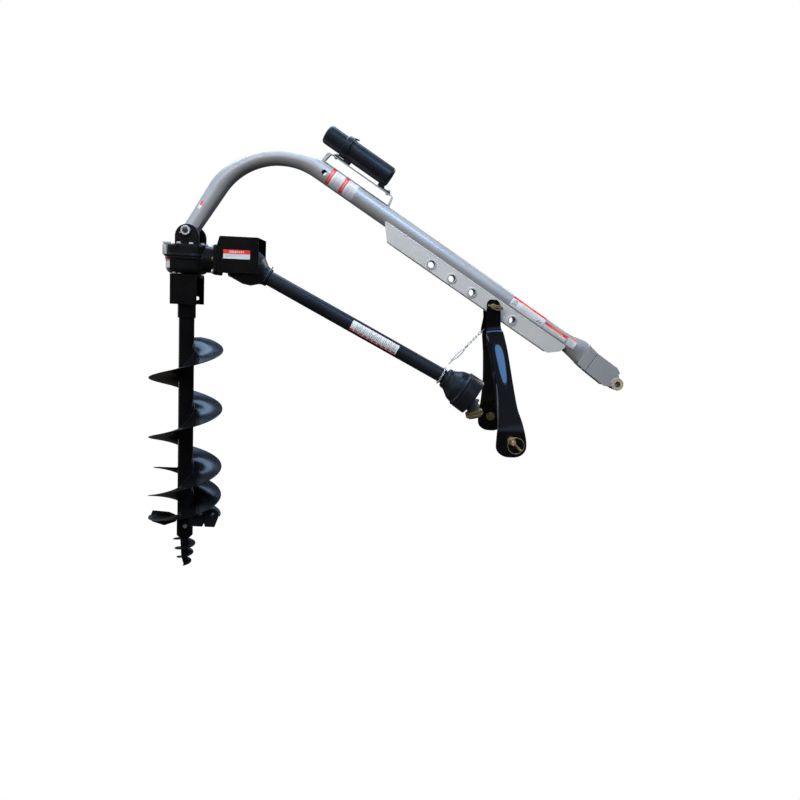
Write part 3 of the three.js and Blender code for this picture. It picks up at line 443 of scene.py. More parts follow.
def finer(stations, steps):
    """Catmull-Rom stations between the given ones."""
    out = []
    last = len(stations) - 1
    for i in range(last):
        four = [stations[min(max(i + k, 0), last)] for k in (-1, 0, 1, 2)]
        for k in range(steps):
            t = k / steps
            row = []
            for p0, p1, p2, p3 in zip(*four):
                row.append(0.5 * (2 * p1 + (p2 - p0) * t + (2 * p0 - 5 * p1 + 4 * p2 - p3) * t * t
                                  + (3 * p1 - p0 - 3 * p2 + p3) * t ** 3))
            out.append(row)
    out.append(stations[-1])
    return out


def quads(count, sides, start=0, closed=False):
    """Faces between rings of points, each ring with the same number of them."""
    faces = []
    for i in range(count if closed else count - 1):
        near, far = start + i * sides, start + (i + 1) % count * sides
        for k in range(sides):
            n = (k + 1) % sides
            faces.append((near + k, near + n, far + n, far + k))
    return faces


def caps(count, sides):
    """Faces that close the first and the last ring."""
    return [tuple(range(sides)), tuple(range((count - 1) * sides, count * sides))]


def loft(stations, sides=48, wall=0):
    """A closed skin through stations, with an ellipse (m 0) to a rectangle (m 1) as its section."""
    def section(row, k, inset):
        at, wide, thick, a, b, m = row
        angle = 2 * math.pi * k / sides
        c, s = math.cos(angle), math.sin(angle)
        stretch = 1 + m * (1 / max(abs(c), abs(s)) - 1)
        return at + wide * ((a - inset) * c * stretch) + thick * ((b - inset) * s * stretch)

    count = len(stations)
    layers = [0, wall] if wall else [0]
    points = [section(row, k, inset) for inset in layers for row in stations for k in range(sides)]
    if not wall:
        return points, quads(count, sides) + caps(count, sides)
    inner = count * sides
    faces = quads(count, sides) + quads(count, sides, inner)
    for end in (0, inner - sides):
        for k in range(sides):
            n = (k + 1) % sides
            faces.append((end + k, end + n, inner + end + n, inner + end + k))
    return points, faces


def sweep(path, radius, sides=10, closed=False, ripple=0.0, pitch=1):
    """A round wire along a path. Ripple varies its radius, as on a weld bead."""
    path = [Vector(p) for p in path]
    count = len(path)
    points = []
    side = None
    for i, p in enumerate(path):
        ahead = path[(i + 1) % count] if closed else path[min(i + 1, count - 1)]
        back = path[i - 1] if closed else path[max(i - 1, 0)]
        forward = (ahead - back).normalized()
        if side is None:
            side = forward.orthogonal().normalized()
        side = (side - forward * side.dot(forward)).normalized()
        up = forward.cross(side)
        r = radius * (1 + ripple * math.sin(2 * math.pi * i / pitch))
        for k in range(sides):
            a, b = polar(r, 2 * math.pi * k / sides)
            points.append(p + side * a + up * b)
    return points, quads(count, sides, closed=closed) + ([] if closed else caps(count, sides))


def line(a, b, steps):
    return traced(steps, lambda t: Vector(a).lerp(Vector(b), t))


def circle(centre, radius, first_axis, second_axis, steps=64):
    """Points round a centre, from the first axis towards the second."""
    out = []
    for k in range(steps):
        a, b = polar(radius, 2 * math.pi * k / steps)
        out.append(Vector(centre) + first_axis * a + second_axis * b)
    return out


def ribbon(rows, section):
    """A blade through rows of (angle, height, inner, outer, thickness), with rounded rims."""
    points = []
    for angle, height, inner, outer, thick in rows:
        for across, up in section:
            points.append((*polar(inner + (outer - inner) * across, angle), height + up * thick))
    return points, quads(len(rows), len(section)) + caps(len(rows), len(section))


BLADE_SECTION = [
    (0, -0.5), (0.25, -0.47), (0.5, -0.43), (0.75, -0.39), (0.975, -0.35), (0.995, -0.25), (1, 0),
    (0.995, 0.25), (0.975, 0.35), (0.75, 0.39), (0.5, 0.43), (0.25, 0.47), (0, 0.5),
]


def hex_head(radius, height):
    """A hexagon head on +X, from 0 up, with its top corners turned off."""
    apothem = radius * math.cos(30 * DEG)
    turns = range(0, 360, 10)
    points = []
    for x, limit in ((0, radius), (height * 0.82, radius), (height, apothem * 0.98)):
        for a in turns:
            off_corner = min(a % 60, 60 - a % 60)
            r = min(apothem / math.cos((30 - off_corner) * DEG), limit)
            points.append((x, *polar(r, a * DEG)))
    return points, caps(3, len(turns)) + quads(3, len(turns))


AIM = {
    "+x": Matrix.Identity(4),
    "-x": Matrix.Rotation(180 * DEG, 4, "Z"),
    "+y": Matrix.Rotation(90 * DEG, 4, "Z"),
    "-y": Matrix.Rotation(-90 * DEG, 4, "Z"),
    "+z": Matrix.Rotation(-90 * DEG, 4, "Y"),
    "-z": Matrix.Rotation(90 * DEG, 4, "Y"),
}


def bolt_head(at, aim, radius, washer=True):
    """A hexagon head on its washer, standing on the point at and facing along aim."""
    parts = [shifted(hex_head(radius * 1.75, radius * 1.2), x=radius * 0.35 if washer else 0)]
    if washer:
        parts.append(rod("x", radius * 2.1, 0, radius * 0.35, edge=0.3))
    return moved(together(*parts), Matrix.Translation(at) @ AIM[aim])


# ------------------------------------------------------------------ making pieces
def new_object(name, shape, place):
    """A mesh object from a shape, put in the row frame and in metres, with its faces turned outwards."""
    points, faces = shape
    mesh = bpy.data.meshes.new(name)
    mesh.from_pydata([tuple(place @ Vector(p) * MM) for p in points], [], faces)
    work = bmesh.new()
    work.from_mesh(mesh)
    bmesh.ops.remove_doubles(work, verts=work.verts, dist=1e-6)
    bmesh.ops.recalc_face_normals(work, faces=work.faces)
    work.to_mesh(mesh)
    work.free()
    made = bpy.data.objects.new(name, mesh)
    bpy.context.scene.collection.objects.link(made)
    return made


def bake(made):
    """Replaces the mesh by what its modifiers make of it."""
    graph = bpy.context.evaluated_depsgraph_get()
    made.data = bpy.data.meshes.new_from_object(made.evaluated_get(graph), depsgraph=graph)
    made.modifiers.clear()


def combine(made, shapes, place, operation):
    """Joins or cuts more shapes into a piece."""
    for shape in shapes:
        tool = new_object("tool", shape, place)
        modifier = made.modifiers.new("solid", "BOOLEAN")
        modifier.operation = operation
        modifier.solver = "MANIFOLD"
        modifier.object = tool
        bake(made)
        bpy.data.objects.remove(tool)
    made.data.materials.clear()


def piece(name, shape, slot, body, replaces=(), place=None, cuts=(), joins=(), bevel=0.0, voxel=0.0,
          sharp=32, steps=2):
    """One visible piece: shape in its body's local frame, joined, cut, its edges rounded, on its body."""
    place = place or LOCAL_FRAMES.get(body, ROW)
    made = new_object(name, shape, place)
    combine(made, joins, place, "UNION")
    if cuts:
        combine(made, cuts, place, "DIFFERENCE")
    if voxel:
        remesh = made.modifiers.new("cast", "REMESH")
        remesh.mode = "VOXEL"
        remesh.voxel_size = voxel * MM
        soften = made.modifiers.new("soft", "SMOOTH")
        soften.factor = 0.5
        soften.iterations = 5
        bake(made)
    if bevel:
        edges = made.modifiers.new("edges", "BEVEL")
        edges.width = bevel * MM
        edges.segments = steps
        edges.limit_method = "ANGLE"
        edges.angle_limit = sharp * DEG
        # The bevels take the edge finish; satin black's edge finish is a painted highlight.
        if slot in EDGES:
            made.data.materials.append(FINISHES[slot])
            made.data.materials.append(FINISHES[EDGES[slot]])
            edges.material = 1
        bake(made)
    made.data.shade_smooth()
    if not voxel:
        made.data.set_sharp_from_angle(angle=(sharp + 8) * DEG)
        weights = made.modifiers.new("shading", "WEIGHTED_NORMAL")
        weights.keep_sharp = True
        bake(made)
    made.data.name = name
    if not made.data.materials:
        made.data.materials.append(FINISHES[slot])
    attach(made, body)
    if replaces:
        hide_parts(*replaces)
    return made


def decal(name, surface, columns, rows, colour_at, body, place=None):
    """A printed film on a surface: surface(s, t) gives a point, colour_at(s, t) one of the films."""
    place = place or LOCAL_FRAMES.get(body, ROW)
    points, faces, colours = [], [], []
    for i in range(columns + 1):
        for j in range(rows + 1):
            points.append(surface(i / columns, j / rows))
    for i in range(columns):
        for j in range(rows):
            a = i * (rows + 1) + j
            faces.append((a, a + rows + 1, a + rows + 2, a + 1))
            colours.append(FILMS.index(colour_at((i + 0.5) / columns, (j + 0.5) / rows)))
    mesh = bpy.data.meshes.new(name)
    mesh.from_pydata([tuple(place @ Vector(p) * MM) for p in points], [], faces)
    for colour in FILMS:
        mesh.materials.append(FINISHES[f"label_{colour}"])
    mesh.polygons.foreach_set("material_index", colours)
    made = bpy.data.objects.new(name, mesh)
    bpy.context.scene.collection.objects.link(made)
    film = made.modifiers.new("film", "SOLIDIFY")
    film.thickness = FILM_T * MM
    film.offset = 0
    bake(made)
    made.data.shade_smooth()
    made.data.set_sharp_from_angle(angle=40 * DEG)
    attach(made, body)
    return made


# ------------------------------------------------------------------ boom
TUBE_R = 38.1
TUBE_T = 5
TUBE_RISE = 27
TUBE_END = 128
BEND_START = 1536
BEND_R = 297.5
PLATE_Y = 40
PLATE_T = 8
HITCH_W = -31
HITCH_FIRST = 525
HITCH_PITCH = 102.5
HITCH_COUNT = 5
BUSH_R = 19
BUSH_BORE = 14
BUSH_Y = 43
TOP_LINK_R = 26
TOP_LINK_BORE = 12.8
TOP_LINK_Y = 41
CLEVIS_Y = 38
CLEVIS_T = 8


def boom_path():
    """Stations of the boom's pipe: flattened end, straight part, bend and short leg to the pivot."""
    rows = []

    def add(x, z, direction, a, b, m, shift=0.0):
        thick = Vector((-direction[1], 0, direction[0]))
        rows.append(station(Vector((x, 0, z)) + thick * shift, Y, thick, a, b, m))

    down = (math.cos(BOOM_ANGLE), -math.sin(BOOM_ANGLE))

    def straight(up, w):
        p = BOOM @ Vector((-up, 0, w))
        return p.x, p.z

    end = [
        (TUBE_END, 21, 44, 0.55, -11), (160, 23, 45, 0.45, -8), (184, 27, 50, 0.3, -2),
        (208, 31, 51, 0.15, 1), (236, 35, 46, 0, 1), (272, 37, 40, 0, 0), (310, TUBE_R, TUBE_R, 0, 0),
        (370, TUBE_R, TUBE_R, 0, 0),
    ]
    for up, a, b, m, shift in end:
        add(*straight(up, TUBE_RISE), down, a, b, m, shift)
    rows[:] = finer(rows, 5)
    for up in (700, 1100, BEND_START - 60):
        add(*straight(up, TUBE_RISE), down, TUBE_R, TUBE_R, 0)
    centre = BOOM @ Vector((-BEND_START, 0, TUBE_RISE - BEND_R))
    to_pin = EAR_PIN - centre
    first = 90 * DEG - BOOM_ANGLE
    last = math.atan2(to_pin.z, to_pin.x) % (2 * math.pi) - math.acos(BEND_R / to_pin.length)
    steps = 40
    for i in range(steps + 1):
        t = i / steps
        angle = first + (last - first) * t
        flat = min(1, 4 * t, 3 * (1 - t))
        flat = flat * flat * (3 - 2 * flat)
        x, z = polar(BEND_R, angle)
        add(centre.x + x, centre.z + z, (math.sin(angle), -math.cos(angle)), TUBE_R + 4 * flat,
            TUBE_R - 5 * flat, 0, -5 * flat)
    x, z = polar(BEND_R, last)
    start = centre + Vector((x, 0, z))
    leg = (math.sin(last), -math.cos(last))
    length = (start - EAR_PIN).length
    for left, a, b, m in ((100, 38, 35, 0.1), (60, 40, 33, 0.3), (16, 42, 31, 0.45)):
        add(start.x + leg[0] * (left - length), start.z + leg[1] * (left - length), leg, a, b, m)
    return rows


def hitch_u(i):
    """Where a hitch tube is along the boom, from the tractor's end."""
    return -(HITCH_FIRST + HITCH_PITCH * i)


def pipe_point(u, w, out=0.35):
    """The point of the boom pipe's near side at u along the boom and w square to it."""
    rise = w - TUBE_RISE
    radius = TUBE_R + out
    rise = max(-radius, min(radius, rise))
    return u, -math.sqrt(max(0.0, radius * radius - rise * rise)), w


def make_boom():
    rows = boom_path()
    hole_at = BOOM @ Vector((-1503, 0, TUBE_RISE))
    hole = rod("y", 11, -60, 60, hole_at, 0)
    piece("boom_pipe", loft(rows, 64, TUBE_T), "silver_paint", "boom", ["boom_tube"], ROW, cuts=[hole],
          sharp=38, bevel=0.5)
    outline = fillet([(-1191, 4), (-1139, -58), (-325, -58), (-284, -24), (-274, 4)], 5)
    for label, side in SIDES:
        low, high = sorted((side * PLATE_Y, side * (PLATE_Y - PLATE_T)))
        holes = [rod("y", BUSH_R + 0.3, low - 5, high + 5, (hitch_u(i), 0, HITCH_W), 0)
                 for i in range(HITCH_COUNT)]
        piece(f"hitch_plate_{label}", prism(outline, low, high), "grey_paint", "boom",
              [f"side_plate_{label}"], cuts=holes, bevel=1.3, steps=3)
        seam_y = side * (PLATE_Y - 2.5)
        seam = line((-1186, seam_y, 5.5), (-278, seam_y, 5.5), 300)
        piece(f"plate_weld_{label}", sweep(seam, 2.6, 8, ripple=0.1, pitch=4), "grey_paint", "boom",
              sharp=60)
        rings = []
        for i in range(HITCH_COUNT):
            loop = circle((hitch_u(i), side * (PLATE_Y + 0.3), HITCH_W), BUSH_R + 1.2, X, Z, 72)
            rings.append(sweep(loop, 2.1, 8, closed=True, ripple=0.1, pitch=6))
        piece(f"bush_welds_{label}", together(*rings), "grey_paint", "boom", sharp=60)
    for i in range(HITCH_COUNT):
        bush = ring("y", BUSH_R, BUSH_BORE, -BUSH_Y, BUSH_Y, (hitch_u(i), 0, HITCH_W), 1.6)
        piece(f"hitch_tube_{i + 1}", bush, "silver_paint", "boom", [f"hitch_bush_{i + 1}"])


def make_clevis():
    cradle = arc((0, 0), TOP_LINK_R + 0.4, 235, 105, 24)
    outline = [(-190, -24), (-146, -30), (-58, -36), (-44, -37), (-37, -34), *cradle,
               (-24, 42), (-30, 47), (-48, 55), (-144, 60), (-190, 68)]
    for label, side in SIDES:
        low, high = sorted((side * CLEVIS_Y, side * (CLEVIS_Y - CLEVIS_T)))
        seam = prism([(-145.2, 70), (-143, 70), (-145.8, -50), (-148, -50)], low - 3, high + 3)
        piece(f"clevis_cheek_{label}", prism(outline, low, high), "silver_paint", "boom",
              [f"clevis_plate_{label}"], cuts=[seam], bevel=1.4)
        bead = [(x, side * (CLEVIS_Y + 0.6), z) for x, z in arc((0, 0), TOP_LINK_R, 104, 236, 66)]
        piece(f"clevis_weld_{label}", sweep(bead, 2.8, 8, ripple=0.1, pitch=3), "silver_paint",
              "boom", sharp=60)
        end = ring("y", TOP_LINK_R - 0.6, TOP_LINK_BORE + 0.1, side * (TOP_LINK_Y + 0.05),
                   side * (TOP_LINK_Y + 0.25), edge=0.05)
        face = piece(f"top_link_tube_end_{label}", end, "bare_steel", "boom")
        face.data.materials.clear()
        face.data.materials.append(FINISHES["worn_tan"])
    tube = ring("y", TOP_LINK_R, TOP_LINK_BORE, -TOP_LINK_Y, TOP_LINK_Y, edge=1.2)
    piece("top_link_tube", tube, "bare_steel", "boom", ["top_link_bush"])
    cap = fillet([(-190, 64.5), (-134, 60.5), (-38, 57.5), (-14, 44.5), (-16, 39), (-40, 52), (-134, 54.5),
                  (-190, 58)], 2, 3)
    cap_y = CLEVIS_Y - CLEVIS_T - 0.2
    piece("clevis_cap_plate", prism(cap, -cap_y, cap_y), "silver_paint", "boom", bevel=0.8)
    sleeve = ring("y", 26, 19.4, -49, 49, EAR_PIN, 1.5)
    piece("pivot_sleeve", sleeve, "silver_paint", "boom", ["boom_sleeve"], ROW)


CANISTER_W = 165
CANISTER_SPLIT = -1471
CANISTER_R = 42
RAIL_W = 109
RAIL_T = 3
TAB_U = (-1502, -1248)
RIB_COUNT = 24


def make_canister():
    low, top = TUBE_RISE + TUBE_R + 0.4, RAIL_W - RAIL_T
    outer = fillet([(-1537, low), (-1212, low), (-1224, RAIL_W), (-1527, RAIL_W)], 9, 6)
    inner = fillet([(-1532, low + RAIL_T), (-1217, low + RAIL_T), (-1227, top), (-1524, top)], 6.5, 6)
    piece("manual_bracket", band(outer, inner, -13, 13), "zinc", "boom", ["canister_bracket"], bevel=0.6,
          sharp=50)
    for i, u in enumerate(TAB_U):
        head = bolt_head((u, 0, top - 0.1), "-z", 4)
        nut = bolt_head((u, 0, RAIL_W + 6.4), "+z", 4)
        piece(f"bracket_bolt_{i + 1}", together(head, nut), "zinc", "boom")
    legs = [fillet([(-1543, 61), (-1531, 65), (-1524, 105), (-1531, 109), (-1540, 98)], 3, 3),
            fillet([(-1225, 106), (-1219, 107), (-1211, 66), (-1220, 63)], 2, 3)]
    strips = [prism(leg, y, y + RAIL_T) for leg in legs for y in (-13.2, 10.2)]
    piece("bracket_legs", together(*strips), "zinc", "boom", bevel=0.5)
    centre = (CANISTER_SPLIT, 0, CANISTER_W)
    skin = [
        (40.5, 0.5), (44.5, 0.5), (44.5, 5), (42.6, 6.5), (42.6, 10), (CANISTER_R, 11), (CANISTER_R, 188),
        (40.5, 196), (36, 200.4), (30, 201), (0, 201),
    ]
    shell = [(0, 190), (37.5, 190), (38, 187), (38, 1), *rounded(skin, 1.6)]
    foot_top = CANISTER_W - CANISTER_R + 6
    tab_low, tab_top = RAIL_W + 0.4, RAIL_W + 6
    back, front = TAB_U[0] - 10, TAB_U[1] + 10
    edge = CANISTER_SPLIT + 1
    rear_foot = [(edge, foot_top), (-1440, foot_top + 4), (-1440, tab_low), (back, tab_low),
                 (back, tab_top), (edge, tab_top)]
    front_foot = [(-1300, foot_top), (-1276, foot_top), (-1270, tab_top), (front, tab_top),
                  (front, tab_low), (-1300, tab_low)]
    feet = [prism(outline, -15, 15) for outline in (rear_foot, front_foot)]
    piece("manual_canister", lathe("x", shell, centre, 96), "black_plastic", "boom", ["canister_body"],
          sharp=40)
    piece("canister_feet", together(*feet), "black_plastic", "boom", bevel=2.0, steps=3)
    outside = [
        (0, -115), (22, -115), (33, -113.6), (38, -109.5), (39.2, -104), (39.5, -98), (39.5, -31),
        (41, -28.5), (45.6, -26.5), (47, -24.5), (47, -7), (46, -5.8), (46, -4.6), (47, -3.5), (47, -1.2),
        (46.3, -0.5),
    ]
    inside = [(35, -0.5), (35, -100), (33, -103), (0, -103)]
    piece("canister_lid", lathe("x", outside + inside, centre, 96), "black_plastic", "canister_cap",
          ["canister_cap"], sharp=40)
    tab = prism(fillet([(-8, 46), (2, 46.6), (12, 50), (12, 53), (0, 51), (-8, 49)], 1.5, 3), -7, 7)
    piece("lid_latch_tab", shifted(tab, *centre), "black_plastic", "canister_cap", bevel=0.8)
    rib = rod("x", 0.9, -102, -34, (0, 39.3, 0), 0.5, 8)
    ribs = []
    for k in range(RIB_COUNT):
        turn = Matrix.Translation(centre) @ Matrix.Rotation(360 / RIB_COUNT * k * DEG, 4, "X")
        ribs.append(moved(rib, turn))
    piece("lid_grip_ribs", together(*ribs), "black_plastic", "canister_cap", sharp=60)


# ------------------------------------------------------------------ decals on the boom
def printed_lines(s, t, first, last, count, ragged=0.9):
    """The film at a point of a label that has count plain grey lines between t first and last."""
    place = (t - first) / (last - first) * count
    length = ragged - 0.12 * (int(place) * 5 % 3)
    on_line = first < t < last and place % 1 > 0.55 and 0.06 < s < length
    return "grey" if on_line else "white"


def wrap_label(u0, u1, w0, w1):
    """The surface of a label wrapped on the near side of the boom's pipe."""
    def surface(s, t):
        return pipe_point(u0 + (u1 - u0) * s, w0 + (w1 - w0) * t)
    return surface


def make_boom_decals():
    def banded(s, t):
        if s < 0.25:
            return "white" if 0.09 < s < 0.16 and 0.15 < t < 0.85 and int(t * 24) % 2 else "red"
        return printed_lines(t, s, 0.33, 0.96, 7, 0.95)

    for i, u in enumerate((-1481, -1417)):
        decal(f"decal_band_{i + 1}", wrap_label(u, u + 63, -5, 64), 52, 48, banded, "boom")

    def reach(s, t):
        if t > 0.80:
            return "red" if not 0.28 < s < 0.62 or int(s * 60) % 3 == 0 else "orange"
        if 0.06 < s < 0.17 and 0.2 < t < 0.72 and int(s * 110 + t * 15) % 5 < 2:
            return "ink"
        if 0.80 < s < 0.95 and 0.12 < t < 0.4 and int(s * 60 - t * 15 + 20) % 5 < 2:
            return "ink"
        return printed_lines(s, t, 0.1, 0.7, 6) if s > 0.3 else "white"

    decal("decal_long", wrap_label(-574, -407, 16, 59), 90, 30, reach, "boom")

    def small(s, t):
        if t > 0.6:
            return "red" if s < 0.3 or s > 0.78 or int(t * 20) % 2 else "orange"
        return printed_lines(s, t, 0.08, 0.5, 3)

    decal("decal_small", wrap_label(-403, -291, 17, 46), 60, 20, small, "boom")

    def tag(s, t):
        return "orange" if t > 0.84 else printed_lines(s, t, 0.1, 0.75, 6)

    decal("decal_tag", wrap_label(-284, -243, 14, 52), 24, 36, tag, "boom")

    rows = finer(boom_path()[-4:-2], 32)

    def leg_face(s, t):
        at, wide, thick, a, b, _ = rows[round(32 - 11 * t)]
        angle = (54 - 44 * s) * DEG
        return at - wide * ((a + 0.5) * math.cos(angle)) + thick * ((b + 0.5) * math.sin(angle))

    def leg_tag(s, t):
        return "red" if t > 0.55 and int(s * 12) % 5 else "white"

    decal("decal_leg", leg_face, 12, 16, leg_tag, "boom", ROW)


# ------------------------------------------------------------------ hanger yoke
LEG_TOP_Y = 58
LEG_LOW_Y = 303
LEG_T = 12


def leg_stations(side):
    """A leg of the hanger yoke, from its eye on the yoke pin down and out to its eye on the hitch pin."""
    tilt = 7 * DEG
    lean = Vector((math.cos(tilt), 0, math.sin(tilt)))
    half = LEG_T / 2
    top = YOKE_PIN.z
    low = HITCH_PIN.z
    crown = [(-551, 29, 10), (-550.5, 27, 15), (-550, 23, 20.5), (-550, 15, 26), (-548, 0, 29)]
    shank = [
        (-544, LEG_TOP_Y, 250, 29.3, half, 0.9, 0), (-541, LEG_TOP_Y, 212, 30, half, 0.88, 0.1),
        (-537, LEG_TOP_Y + 8, 188, 37, 10, 0.55, 0.5), (-531, LEG_TOP_Y + 24, 158, 38, 20, 0.5, 0.62),
        (-520, LEG_TOP_Y + 60, 98, 38, 26, 0.5, 0.62), (-504, LEG_TOP_Y + 138, -20, 38, 26, 0.4, 0.62),
        (-495, LEG_TOP_Y + 190, -98, 42, 20, 0.4, 0.6), (-487, LEG_LOW_Y - 18, -143, 48, 12, 0.5, 0.5),
        (-483, LEG_LOW_Y, -175, 54, half, 0.88, 0), (HITCH_PIN.x + 1, LEG_LOW_Y, low, 59, half, 0.9, 0),
    ]
    foot = [(-238, 60), (-251, 57), (-261, 51), (-269, 42), (-275, 31), (-278, 20), (-279, 9)]
    rows = [(x, LEG_TOP_Y, top + up, a, half, 0.9, 0) for x, up, a in crown] + shank
    rows += [(-478, LEG_LOW_Y, z, a, half, 0.9, 0) for z, a in foot]
    out = []
    for x, y, z, a, b, m, slant in rows:
        wide = lean if slant else X
        out.append(station((x, side * y, z), wide, Vector((0, side, slant)).normalized(), a, b, m))
    return finer(out, 8)


def spring_ring(radius, wire, gap=24):
    """A linchpin's sprung ring in the XZ plane, open at the foot."""
    turns = arc((0, 0), radius, gap / 2 - 90, 270 - gap / 2, 48)
    return sweep([(x, 0, z) for x, z in turns], wire, 10)


def make_yoke():
    for label, side in SIDES:
        pin_hole = rod("y", 11.4, side * 40, side * 80, (YOKE_PIN.x, 0, YOKE_PIN.z), 0)
        low_hole = rod("y", 11.4, side * 280, side * 330, (HITCH_PIN.x, 0, HITCH_PIN.z), 0)
        piece(f"hanger_leg_{label}", loft(leg_stations(side), 64), "gloss_black_paint", "yoke",
              [f"yoke_leg_{label}"], cuts=[pin_hole, low_hole], sharp=42, bevel=0.8)
        make_hitch_pin(label, side)
    make_yoke_pin()


def make_hitch_pin(label, side):
    outer = LEG_LOW_Y + LEG_T / 2
    inner = LEG_LOW_Y - LEG_T / 2
    at = (HITCH_PIN.x, 0, HITCH_PIN.z)
    tip = [(0, inner - 22), (9, inner - 22), (11, inner - 20), (11, outer + 0.4), (16, outer + 0.4),
           (16, outer + 7), (11, outer + 7), (11, outer + 55), (8.6, outer + 59), (0, outer + 59)]
    flip = Matrix.Scale(side, 4, Y)
    at_pin = Matrix.Translation(at)
    piece(f"lower_pin_{label}", moved(lathe("y", rounded(tip, 0.8)), at_pin @ flip), "gold_zinc", "yoke",
          [f"hitch_pin_{label}"])
    face = rod("y", 8.2, outer + 59.05, outer + 59.4)
    piece(f"lower_pin_face_{label}", moved(face, at_pin @ flip), "copper_zinc", "yoke")
    threads = [shifted(ring("y", 11.35, 10.2, 0, 1.2, edge=0.5), y=inner - 21 + 2 * k) for k in range(2)]
    nut = moved(hex_head(17.5, 15.5), AIM["-y"])
    nut = shifted(nut, y=inner - 2.6)
    washer = ring("y", 20.5, 11.6, inner - 2.6, inner - 0.4)
    piece(f"pin_nut_{label}", moved(together(nut, washer, *threads), at_pin @ flip), "gold_zinc", "yoke",
          [f"hitch_pin_nut_{label}"])
    clip_at = at_pin @ flip @ Matrix.Translation((0, outer + 48, 0)) @ Matrix.Rotation(134 * DEG, 4, "Y")
    shank = rod("z", 4.8, -14, 47, edge=2)
    head = rod("z", 6.5, -18, -11.5, edge=1.5)
    loop = shifted(spring_ring(31.5, 1.6, 14), z=16)
    piece(f"lynch_pin_{label}", moved(together(shank, head, loop), clip_at), "gold_zinc", "yoke",
          [f"linchpin_{label}"], sharp=50)


def make_yoke_pin():
    x, z = YOKE_PIN.x, YOKE_PIN.z
    body = [(0, -82), (9.5, -82), (11, -80.5), (11, 64.4), (18, 64.4), (18, 76), (0, 76)]
    piece("hanger_pin", lathe("y", rounded(body, 0.9), (x, 0, z)), "gold_zinc", "yoke", ["yoke_pin"])
    at = Matrix.Translation((x, -74, z))
    shank = rod("x", 4.2, -22, 30, edge=2)
    head = rod("x", 6.5, 28, 37, edge=1.5)

    def arch(t):
        x, z = polar(1, (190 + 340 * t) * DEG)
        return 14 + 25 * x, -5 - 2 * math.sin(math.pi * t), -1 + 9 * z

    loop = sweep(traced(32, arch), 1.6, 10)
    tilt = at @ Matrix.Rotation(9 * DEG, 4, "Y")
    piece("hanger_pin_clip", moved(together(shank, head, loop), tilt), "gold_zinc", "yoke", ["yoke_pin_clip"],
          sharp=50)
    washer = ring("y", 19, 11.5, -67.5, -64.6, (x, 0, z))
    piece("hanger_pin_washer", washer, "gloss_black_paint", "yoke")


# ------------------------------------------------------------------ gearbox
INPUT_Z = 438
PARTING_Z = 444
COVER_TOP = 491
HOUSING_BOTTOM = 374
CASE_R = 88
CAVITY_R = 74
EAR_Y = 65
EAR_T = 14
EAR_R = 49
BOSS_R = 54
FLANGE_X = 122
BOLT_SPREAD = 49  # of the input flange's bolts, from its middle
SIDE_BOLT = (-72, -50, 0)
COVER_BOLTS = [(-66, -38), (-14, -76), (34, -68), (70, -32), (-66, 38), (-14, 76), (34, 68), (70, 32)]
CAST_VOXEL = 1.7  # voxels of the castings, which round their corners


def rounded_square(half, corner, steps=8):
    """The outline of a square with round corners, about its middle."""
    out = []
    for cx, cz, first in ((1, -1, -90), (1, 1, 0), (-1, 1, 90), (-1, -1, 180)):
        out += arc((cx * (half - corner), cz * (half - corner)), corner, first, first + 90, steps)
    return out


